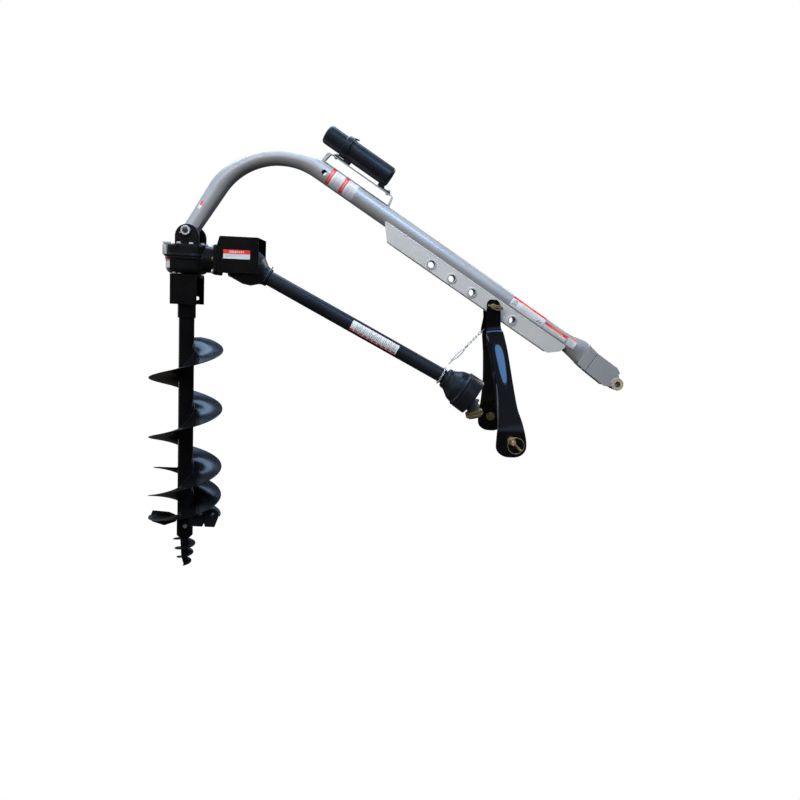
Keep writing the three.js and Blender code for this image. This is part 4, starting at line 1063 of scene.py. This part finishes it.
def make_gearbox():
    bowl = [
        (0, HOUSING_BOTTOM), (58, HOUSING_BOTTOM), (68, HOUSING_BOTTOM + 2.5), (76, HOUSING_BOTTOM + 7),
        (81, HOUSING_BOTTOM + 13), (84, HOUSING_BOTTOM + 22), (85, PARTING_Z - 13),
        (CASE_R, PARTING_Z - 10), (CASE_R, PARTING_Z), (0, PARTING_Z),
    ]
    cavity = [(0, HOUSING_BOTTOM + 18), (72, HOUSING_BOTTOM + 18), (CAVITY_R, HOUSING_BOTTOM + 22),
              (CAVITY_R, PARTING_Z + 40), (0, PARTING_Z + 40)]
    flange = shifted(prism(rounded_square(62, 18), FLANGE_X, FLANGE_X + 14, "x"), z=INPUT_Z)
    centre = (0, 0, INPUT_Z)
    piece("gearbox_bowl", lathe("z", bowl, sides=96), "cast_black", "gearbox", ["gearbox_housing"],
          joins=[rod("x", BOSS_R, 60, FLANGE_X + 1, centre, 0, 96), flange],
          cuts=[lathe("z", cavity), rod("z", 23, HOUSING_BOTTOM - 10, HOUSING_BOTTOM + 30, edge=0),
                rod("x", 36.2, 50, 150, centre, 0)], voxel=CAST_VOXEL)
    ear_x = EAR_PIN.x - AUGER_AXIS.x
    middle = ear_x + 4
    ear = [(middle + EAR_R, COVER_TOP - 4), *arc((middle, 526), EAR_R, 0, 180, 40),
           (middle - EAR_R, COVER_TOP - 4)]
    lid = [(0, PARTING_Z + 0.4), (CASE_R + 2.6, PARTING_Z + 0.4), (CASE_R + 2.6, PARTING_Z + 8),
           (CASE_R, PARTING_Z + 10), (CASE_R, COVER_TOP - 6), (CASE_R - 3, COVER_TOP), (0, COVER_TOP)]
    lug = rod("z", 11, PARTING_Z + 0.4, COVER_TOP - 10, SIDE_BOLT, 0)
    ears = [prism(ear, s * EAR_Y, s * (EAR_Y - EAR_T)) for s in (-1, 1)]
    pads = [rod("z", 12.5, COVER_TOP - 8, COVER_TOP + 3, (x, y, 0), 0) for x, y in COVER_BOLTS]
    piece("gearbox_lid", lathe("z", lid, sides=96), "cast_black", "gearbox", ["gearbox_cover"],
          joins=[lug, *ears, *pads],
          cuts=[rod("z", CAVITY_R, PARTING_Z - 5, COVER_TOP - 24, edge=0, sides=64),
                rod("x", BOSS_R + 0.6, 59.4, 130, centre, 0, 96),
                rod("y", 19.3, -90, 90, (ear_x, 0, EAR_PIN.z), 0)],
          voxel=CAST_VOXEL)
    pivot = [(12.5, -77), (18.2, -77), (19, -76), (19, 76), (18.2, 77), (12.5, 77)]
    piece("pivot_pipe", lathe("y", pivot, (ear_x, 0, EAR_PIN.z)), "zinc", "gearbox", ["pivot_tube"])
    cotters = [rod("x", 2.4, -26, -16, (0, y, 0), 0.6, 16) for y in (-71.5, 71.5)]
    tilt = Matrix.Translation((ear_x, 0, EAR_PIN.z)) @ Matrix.Rotation(-25 * DEG, 4, "Y")
    piece("pivot_roll_pins", moved(together(*cotters), tilt), "zinc", "gearbox")
    make_gearbox_bolts()


def make_gearbox_bolts():
    heads = [bolt_head((x, y, COVER_TOP + 3), "+z", 5) for x, y in COVER_BOLTS]
    piece("cover_bolts", together(*heads), "zinc", "gearbox")
    at = Vector(SIDE_BOLT) + Vector((-3, -7, 0))
    tube = rod("z", 10.5, PARTING_Z + 6, COVER_TOP - 2, at, 1)
    shank = rod("z", 6, PARTING_Z + 4, COVER_TOP + 9, at, 0.8)
    head = bolt_head((at.x, at.y, COVER_TOP + 3), "+z", 5.4, False)
    piece("side_bolt", together(shank, head, tube), "zinc", "gearbox")
    corners = [(y, z) for y in (-BOLT_SPREAD, BOLT_SPREAD) for z in (-BOLT_SPREAD, BOLT_SPREAD)]
    back = FLANGE_X - 0.5
    flange = [bolt_head((back, y, INPUT_Z + z), "-x", 5.5) for y, z in corners]
    piece("flange_bolts", together(*flange), "zinc", "gearbox")
    piece("flange_plug", bolt_head((back, -56, INPUT_Z + 2), "-x", 4.5), "gold_zinc", "gearbox")


SHIELD_Y = 90
SHIELD_BACK, SHIELD_FRONT = 143, 311
SHIELD_LOW, SHIELD_TOP = 388, 532
SHEET = 3
GUARD_X = 56
GUARD_Y = 64
GUARD_T = 4
GUARD_CORNER = 11
GUARD_LOW, GUARD_TOP = 250, HOUSING_BOTTOM - 0.4


def make_box_shield():
    """The folded sheet round the input shaft, open to the front and below."""
    back, front, low, top = SHIELD_BACK, SHIELD_FRONT, SHIELD_LOW, SHIELD_TOP
    outer = fillet([(back, low), (front, low), (front, top), (back + 10, top), (back, top - 34)], 3.5, 3)
    inner = fillet([(back + SHEET, low - 9), (front + 9, low - 9), (front + 9, top - SHEET),
                    (back + 12, top - SHEET), (back + SHEET, top - 35)], 2, 3)
    window = rod("x", 32, 130, 160, (0, 0, INPUT_Z), 0)
    piece("input_box_shield", prism(outer, -SHIELD_Y, SHIELD_Y), "satin_black_paint", "gearbox",
          ["box_shield"], cuts=[prism(inner, SHEET - SHIELD_Y, SHIELD_Y - SHEET), window], bevel=1.0)
    hems = []
    for _, side in SIDES:
        y = side * (SHIELD_Y - 2.2)
        hems.append(sweep([(front - 1.5, y, low + 1), (front - 1.5, y, top - 2)], 1.9, 8))
    piece("shield_hems", together(*hems), "satin_black_paint", "gearbox", sharp=60)


def make_shaft_guard():
    """The channel under the gearbox, closed by a lid that its bolts go through."""
    def bend(side, radius, first, last):
        return arc((GUARD_CORNER - GUARD_X, side * (GUARD_Y - GUARD_CORNER)), radius, first, last, 10)

    within = GUARD_CORNER - GUARD_T
    channel = [
        *bend(-1, GUARD_CORNER, 180, 270), (GUARD_X, -GUARD_Y), (GUARD_X, GUARD_T - GUARD_Y),
        *bend(-1, within, 270, 180), *bend(1, within, 180, 90),
        (GUARD_X, GUARD_Y - GUARD_T), (GUARD_X, GUARD_Y), *bend(1, GUARD_CORNER, 90, 180),
    ]
    wall = prism(channel, GUARD_LOW, GUARD_TOP - 4.2, "z")
    corners = [(-GUARD_X, -GUARD_Y), (GUARD_X, -GUARD_Y), (GUARD_X, GUARD_Y), (-GUARD_X, GUARD_Y)]
    lid = prism(fillet(corners, 9, 4), GUARD_TOP - 4.3, GUARD_TOP, "z")
    hole = rod("y", 8, 40, 80, (28, 0, GUARD_LOW + 26), 0)
    piece("auger_shaft_guard", wall, "satin_black_paint", "gearbox", ["shaft_guard"], joins=[lid],
          cuts=[rod("z", 42, GUARD_TOP - 20, GUARD_TOP + 9, edge=0), hole], bevel=0.7)
    nuts = [bolt_head((x, y, GUARD_TOP - 4.4), "-z", 5) for x in (-36, 44) for y in (-48, 48)]
    studs = [bolt_head((x, side * y, GUARD_TOP + 0.4), "+z", 5)
             for _, side in SIDES for x, y in ((-36, 56), (-14, 60))]
    piece("guard_nuts", together(*nuts, *studs), "zinc", "gearbox")


def make_gearbox_decals():
    def two_fields(s, t):
        if t > 0.56:
            return "white" if 0.66 < t < 0.88 and 0.22 < s < 0.78 and int(s * 26) % 2 else "red"
        return printed_lines(s, t, 0.12, 0.5, 3, 0.96)

    def shield_face(s, t):
        return 169 + 108 * s, -SHIELD_Y - FILM_T, 443 + 36 * t

    def stripe(s, t):
        return "red" if t > 0.75 else "white"

    def housing_face(s, t):
        return *polar(85.6, (200 + 32 * s) * DEG), 397 + 36 * t

    decal("decal_shield", shield_face, 64, 24, two_fields, "gearbox")
    decal("decal_housing", housing_face, 16, 16, stripe, "gearbox")


# ------------------------------------------------------------------ auger
AUGER_TUBE_R = 31.75
AUGER_TUBE_BORE = 25.4
SOCKET_TOP = 300
CROSS_PIN_Z = 262
AUGER_R = 152.4
PITCH = 254
BLADE_T = 6.4
FLIGHT_TOP = 106
SECOND_TOP = -455
HEAD_Z = -664
PILOT_BOLT_Z = -700
PILOT_BOLT_TURN = 17 * DEG
PILOT_TOP = -764.4
PILOT_TIP = -893
PILOT_PITCH = 40


def flight_rows(top_angle, top_z, turns, flat_drop, step=4):
    """Rows of a flight's blade: full turns at the pitch, then half a turn that drops flatter to the head."""
    rows = []
    full = turns * 360
    count = int(round((full + 180) / step))
    for k in range(count + 1):
        turn = (full + 180) * k / count
        drop = min(turn, full) * PITCH / 360
        flat = flat_drop * (1 - (1 - max(0, turn - full) / 180) ** 1.5)
        outer = AUGER_R - 34 * max(0, 1 - turn / 16) ** 2
        rows.append(((top_angle - turn) * DEG, top_z - drop - flat, AUGER_TUBE_R + 0.8, outer, BLADE_T))
    return rows


def flight_weld(rows, below=0.0):
    """The weld bead between a flight and the tube, over the blade or that far below it."""
    path = []
    for angle, height, inner, _, thick in rows:
        lift = thick / 2 + 0.8 - below
        path.append((*polar(inner + 0.6, angle), height + lift))
    return sweep(path, 3.0, 8, ripple=0.14, pitch=3)


def make_auger():
    cross_hole = rod("y", 8.4, -60, 60, (0, 0, CROSS_PIN_Z), 0)
    tube = ring("z", AUGER_TUBE_R, AUGER_TUBE_BORE, HEAD_Z - 16, SOCKET_TOP)
    piece("auger_pipe", tube, "satin_black_paint", "auger", ["auger_tube"], cuts=[cross_hole])
    collar = [(32.2, 193), (35.6, 193), (37, 196), (37, SOCKET_TOP - 2), (35.6, SOCKET_TOP),
              (32.2, SOCKET_TOP)]
    piece("auger_socket", lathe("z", rounded(collar, 1)), "satin_black_paint", "auger", ["auger_collar"],
          cuts=[cross_hole])
    pin = rod("y", 8, -41, 41, (0, 0, CROSS_PIN_Z), 2.5)
    piece("auger_cross_pin", pin, "zinc", "auger", ["auger_bolt"])
    main = flight_rows(75, FLIGHT_TOP, 2 + 255 / 360, 78)
    second = flight_rows(180, SECOND_TOP, 0.5, 88)
    for name, rows in (("main_flight", main), ("second_flight", second)):
        piece(f"{name}_blade", ribbon(rows, BLADE_SECTION), "satin_black_paint", "auger", [name],
              sharp=55)
        piece(f"{name}_weld", flight_weld(rows), "satin_black_paint", "auger", sharp=70)
        piece(f"{name}_weld_low", flight_weld(rows, 8.0), "satin_black_paint", "auger", sharp=70)
    make_head()
    make_pilot()


def make_head():
    shape = fillet([(-147, 24), (-73, 20), (-42, 8), (-36, -21), (-85, -42), (-141, -26), (-151, -4)], 5, 4)
    place = Matrix.Translation((0, 8, HEAD_Z - 10)) @ Matrix.Rotation(-42 * DEG, 4, "X")
    piece("left_cutter", moved(prism(shape, -5, 5), place), "satin_black_paint", "auger", ["cutting_blade"],
          bevel=1.4)
    tilt = Matrix.Translation((0, -18, HEAD_Z)) @ Matrix.Rotation(-12 * DEG, 4, "X")
    teeth = {
        "inner": [(44, 38), (89, 38), (89, -24), (82, -40), (44, -40)],
        "outer": [(90, 38), *arc((126, 13), 25, 90, -20, 10), (135, -40), (94, -40), (90, -25)],
    }
    for label, outline in teeth.items():
        piece(f"bolt_on_tooth_{label}", moved(prism(outline, -5, 5), tilt), "cast_black", "auger",
              [f"tooth_{label}"], bevel=1.6, steps=3)
    gusset = prism([(22, 34), (46, 38), (46, -40), (22, -36)], -4, 4)
    piece("tooth_gusset", moved(gusset, tilt), "satin_black_paint", "auger", bevel=1)
    dome = [(0, -12.5), (4, -12), (7.5, -10), (10, -6.5), (10.5, -4.9), (0, -4.9)]
    bolts = [moved(lathe("y", dome, (x, 0, 15), 40), tilt) for x in (71, 122)]
    piece("tooth_bolts", together(*bolts), "bare_steel", "auger")


def make_pilot():
    holder = [(0, -764), (20, -764), (27, -757), (34, -750), (34, -680.6), (0, -680.6)]
    turn = Matrix.Rotation(PILOT_BOLT_TURN, 4, "Z")
    hole = moved(rod("y", 6.4, -60, 60, (0, 0, PILOT_BOLT_Z), 0), turn)
    piece("pilot_socket", lathe("z", rounded(holder, 2)), "satin_black_paint", "auger", ["pilot_holder"],
          cuts=[hole])
    head = bolt_head((0, -34.6, PILOT_BOLT_Z), "-y", 5.9, False)
    nut = bolt_head((0, 34.6, PILOT_BOLT_Z), "+y", 5.6)
    shank = rod("y", 6, -35, 44, (0, 0, PILOT_BOLT_Z))
    piece("pilot_cross_bolt", moved(together(head, nut, shank), turn), "zinc", "auger", ["pilot_bolt"])
    rows = []
    for degrees in range(0, 1021, 6):
        t = degrees / 1080
        start = min(1, degrees / 24)
        height = PILOT_TOP - 4 - degrees / 360 * PILOT_PITCH
        rows.append(((210 - degrees) * DEG, height, 4, 20 + (30 - 24 * t) * start, 7 - 2 * t))
    core = [(0, PILOT_TIP), (3, PILOT_TIP + 4), (9, PILOT_TIP + 25), (14, PILOT_TIP + 45), (19, PILOT_TOP),
            (0, PILOT_TOP)]
    piece("pilot_point", together(lathe("z", rounded(core, 3)), ribbon(rows, BLADE_SECTION)), "cast_black",
          "auger", ["pilot_screw"], sharp=55)


# ------------------------------------------------------------------ driveline
SHIELD_R = 31
CLIP_S = 134
CLIP_R = 39.6


def make_driveline():
    cone = [
        (75, -10), (76, -8), (76, -4), (75, -2), (75, 58), (73.5, 62), (66, 88), (64, 91), (44, 115),
        (42.5, 118), (39.5, 124), (39.5, 128), (38, 129), (38, 142), (31.4, 142), (31.4, 118), (40, 112),
        (61, 88), (71.5, 59), (71.5, -10),
    ]
    piece("gearbox_end_cone", lathe("x", rounded(cone, 1.2), sides=96), "black_plastic", "driveline_shield",
          ["rear_shield_cone"])
    piece("shield_tube", ring("x", SHIELD_R, 28.6, 119, NECK_S, sides=96), "black_plastic",
          "driveline_shield", ["outer_shield_tube"])

    def clip_point(radius, degrees):
        down, y = polar(radius, degrees * DEG)
        return CLIP_S, y, -down

    clip = sweep([clip_point(CLIP_R, 60 + 240 * k / 24) for k in range(25)], 1.6)
    ears = [sweep([clip_point(CLIP_R, a), clip_point(50, a)], 1.6) for a in (176, 184)]
    piece("cone_clip", together(clip, *ears), "bare_steel", "driveline_shield", sharp=50)
    piece("inner_tube", ring("x", 27.6, 25, 500, 1006, sides=96), "black_plastic", "front_shield",
          ["inner_shield_tube"])
    bell = [
        (38, 2), (42, 4), (44, 8), (45, 12), (45, 18), (46, 24), (52, 34), (59, 44), (66, 54), (70, 66),
        (73, 82), (78, 85), (80, 88), (80, 92), (78.6, 94), (78.6, 98), (80, 100), (81, 148), (81, 152),
        (77.5, 152), (76, 92), (69, 88), (62, 56), (42, 27), (34, 22), (34, 2),
    ]
    piece("tractor_end_bell", lathe("x", rounded(bell, 1.2), sides=96), "black_plastic", "front_shield",
          ["tractor_shield_bell"], BELL)

    def tube_label(s, t):
        if t < 0.2:
            return "red" if int(s * 40) % 4 < 3 and t > 0.04 else "white"
        if s < 0.08:
            return "white"
        return printed_lines(t, s, 0.08, 0.97, 26, 0.92)

    def tube_face(s, t):
        out, up = polar(SHIELD_R + FILM_T, (-40 + 85 * t) * DEG)
        return 535 + 222 * s, -out, up

    decal("decal_driveline", tube_face, 120, 30, tube_label, "driveline_shield")


def make_tractor_yoke():
    sleeve = lathe("x", rounded([(27.1, 66), (30, 66), (30, 74), (27.1, 74)], 1))
    piece("yoke_spring_cup", sleeve, "bare_steel", "tractor_yoke")
    collar = [(27.5, 88), (34, 88), (36, 89.5), (37, 91), (37, 98), (34.5, 100), (34.5, 105), (37, 107),
              (37, 112), (36, 114), (27.5, 114)]
    shapes = [lathe("x", rounded(collar, 0.8), sides=96)]
    for k in range(20):
        turn = Matrix.Rotation(2 * math.pi * k / 20, 4, "X")
        shapes.append(moved(rod("x", 2.6, 89.5, 112.5, (0, 35.3, 0), 1.2, 12), turn))
    piece("quick_release_collar", together(*shapes), "gold_zinc", "release_collar", ["release_collar"],
          sharp=50)


# ------------------------------------------------------------------ safety chain
LINK_PITCH = 15.5
CHAIN_SHARE = 0.44  # of the run from the lug to the loop; the snap hook takes the rest
LOOP_LINKS = 20


def chain_link(at, forward, side, length, wire, width):
    """An oval link centred at a point, long along forward and wide along side."""
    forward, side = Vector(forward).normalized(), Vector(side).normalized()
    straight = length / 2 - width / 2
    path = []
    for centre, first in ((straight, -90), (-straight, 90)):
        for a, b in arc((centre, 0), width / 2, first, first + 180, 8):
            path.append(Vector(at) + forward * a + side * b)
    return sweep(path, wire, 8, closed=True)


def make_chain():
    neck = DRIVE @ Vector((NECK_S - 12, 0, 0))
    top = Vector((YOKE_PIN.x - 19, 46, YOKE_PIN.z - 99))
    low = Vector((neck.x + 26, 5, neck.z + 47))
    forward = (low - top).normalized()
    across = forward.cross(Y).normalized()
    other = forward.cross(across).normalized()
    length = (low - top).length
    links = []
    count = int(length * CHAIN_SHARE / LINK_PITCH)
    for k in range(count):
        side = across if k % 2 else other
        at = top + forward * (LINK_PITCH * (k + 0.5))
        links.append(chain_link(at, forward, side, LINK_PITCH + 4.6, 1.5, 7.5))
    piece("chain_run", together(*links), "zinc", "chain", sharp=60)
    knot = top + forward * (count * LINK_PITCH + 3)
    swivel = lathe("x", rounded([(0, 0), (3, 0), (5, 4), (5, 12), (3, 17), (0, 17)], 1.5), sides=32)
    aim = forward.to_track_quat("X", "Z").to_matrix().to_4x4()
    parts = [moved(swivel, Matrix.Translation(knot) @ aim)]
    start = knot + forward * 15
    span = (low - start).length - 4

    def hook(t):
        bow = math.sin(math.pi * min(1, t * 1.25))
        return start + forward * (span * t) + across * (8.5 * bow * (1 - 0.4 * t))

    def back(t):
        return start + forward * (6 + (span - 16) * t) - across * (5.0 * math.sin(math.pi * t))

    tip = [start + forward * (span * 0.78) - across * (k * 0.9) for k in range(12)]
    parts += [sweep(traced(40, hook), 2.6, 10), sweep(traced(30, back), 2.1, 10), sweep(tip, 1.6, 8)]
    piece("snap_hook", together(*parts), "zinc", "chain", sharp=60)
    make_lug(top)
    make_neck_loop(neck)


def make_lug(top):
    turn = math.degrees(math.atan2(YOKE_PIN.z - top.z, YOKE_PIN.x - top.x)) - 90
    outline = arc((top.x, top.z), 12, 180 + turn, 360 + turn, 16)
    outline += arc((YOKE_PIN.x, YOKE_PIN.z), 17, turn, 180 + turn, 16)
    hole = rod("y", 11.4, 30, 60, (YOKE_PIN.x, 0, YOKE_PIN.z), 0)
    piece("chain_lug", prism(outline, 44, 48), "gloss_black_paint", "chain", ["safety_chain"], cuts=[hole],
          bevel=0.6)


def make_neck_loop(neck):
    links = []
    radius = SHIELD_R + 5.2
    along = DRIVE.to_3x3() @ X
    up = DRIVE.to_3x3() @ Z
    for k in range(LOOP_LINKS):
        angle = 2 * math.pi * k / LOOP_LINKS
        out = Y * math.cos(angle) + up * math.sin(angle)
        forward = up * math.cos(angle) - Y * math.sin(angle)
        side = along if k % 2 else out
        links.append(chain_link(neck + out * radius, forward, side, 15.6, 1.4, 6.4))
    piece("neck_chain", together(*links), "zinc", "driveline_shield", ["chain_loop"], ROW, sharp=60)


def finish_cad_nodes():
    """The working parts inside keep their CAD shape and take their slot's finish."""
    slots = {s["node"]: s["material_slot"] for s in frame["record"]["subparts"]}
    for name, node in frame["nodes"].items():
        node.data.materials.clear()
        node.data.materials.append(FINISHES[slots[name]])


make_camera()
make_studio()
finish_cad_nodes()
make_boom()
make_clevis()
make_canister()
make_boom_decals()
make_yoke()
make_gearbox()
make_box_shield()
make_shaft_guard()
make_gearbox_decals()
make_auger()
make_driveline()
make_tractor_yoke()
make_chain()
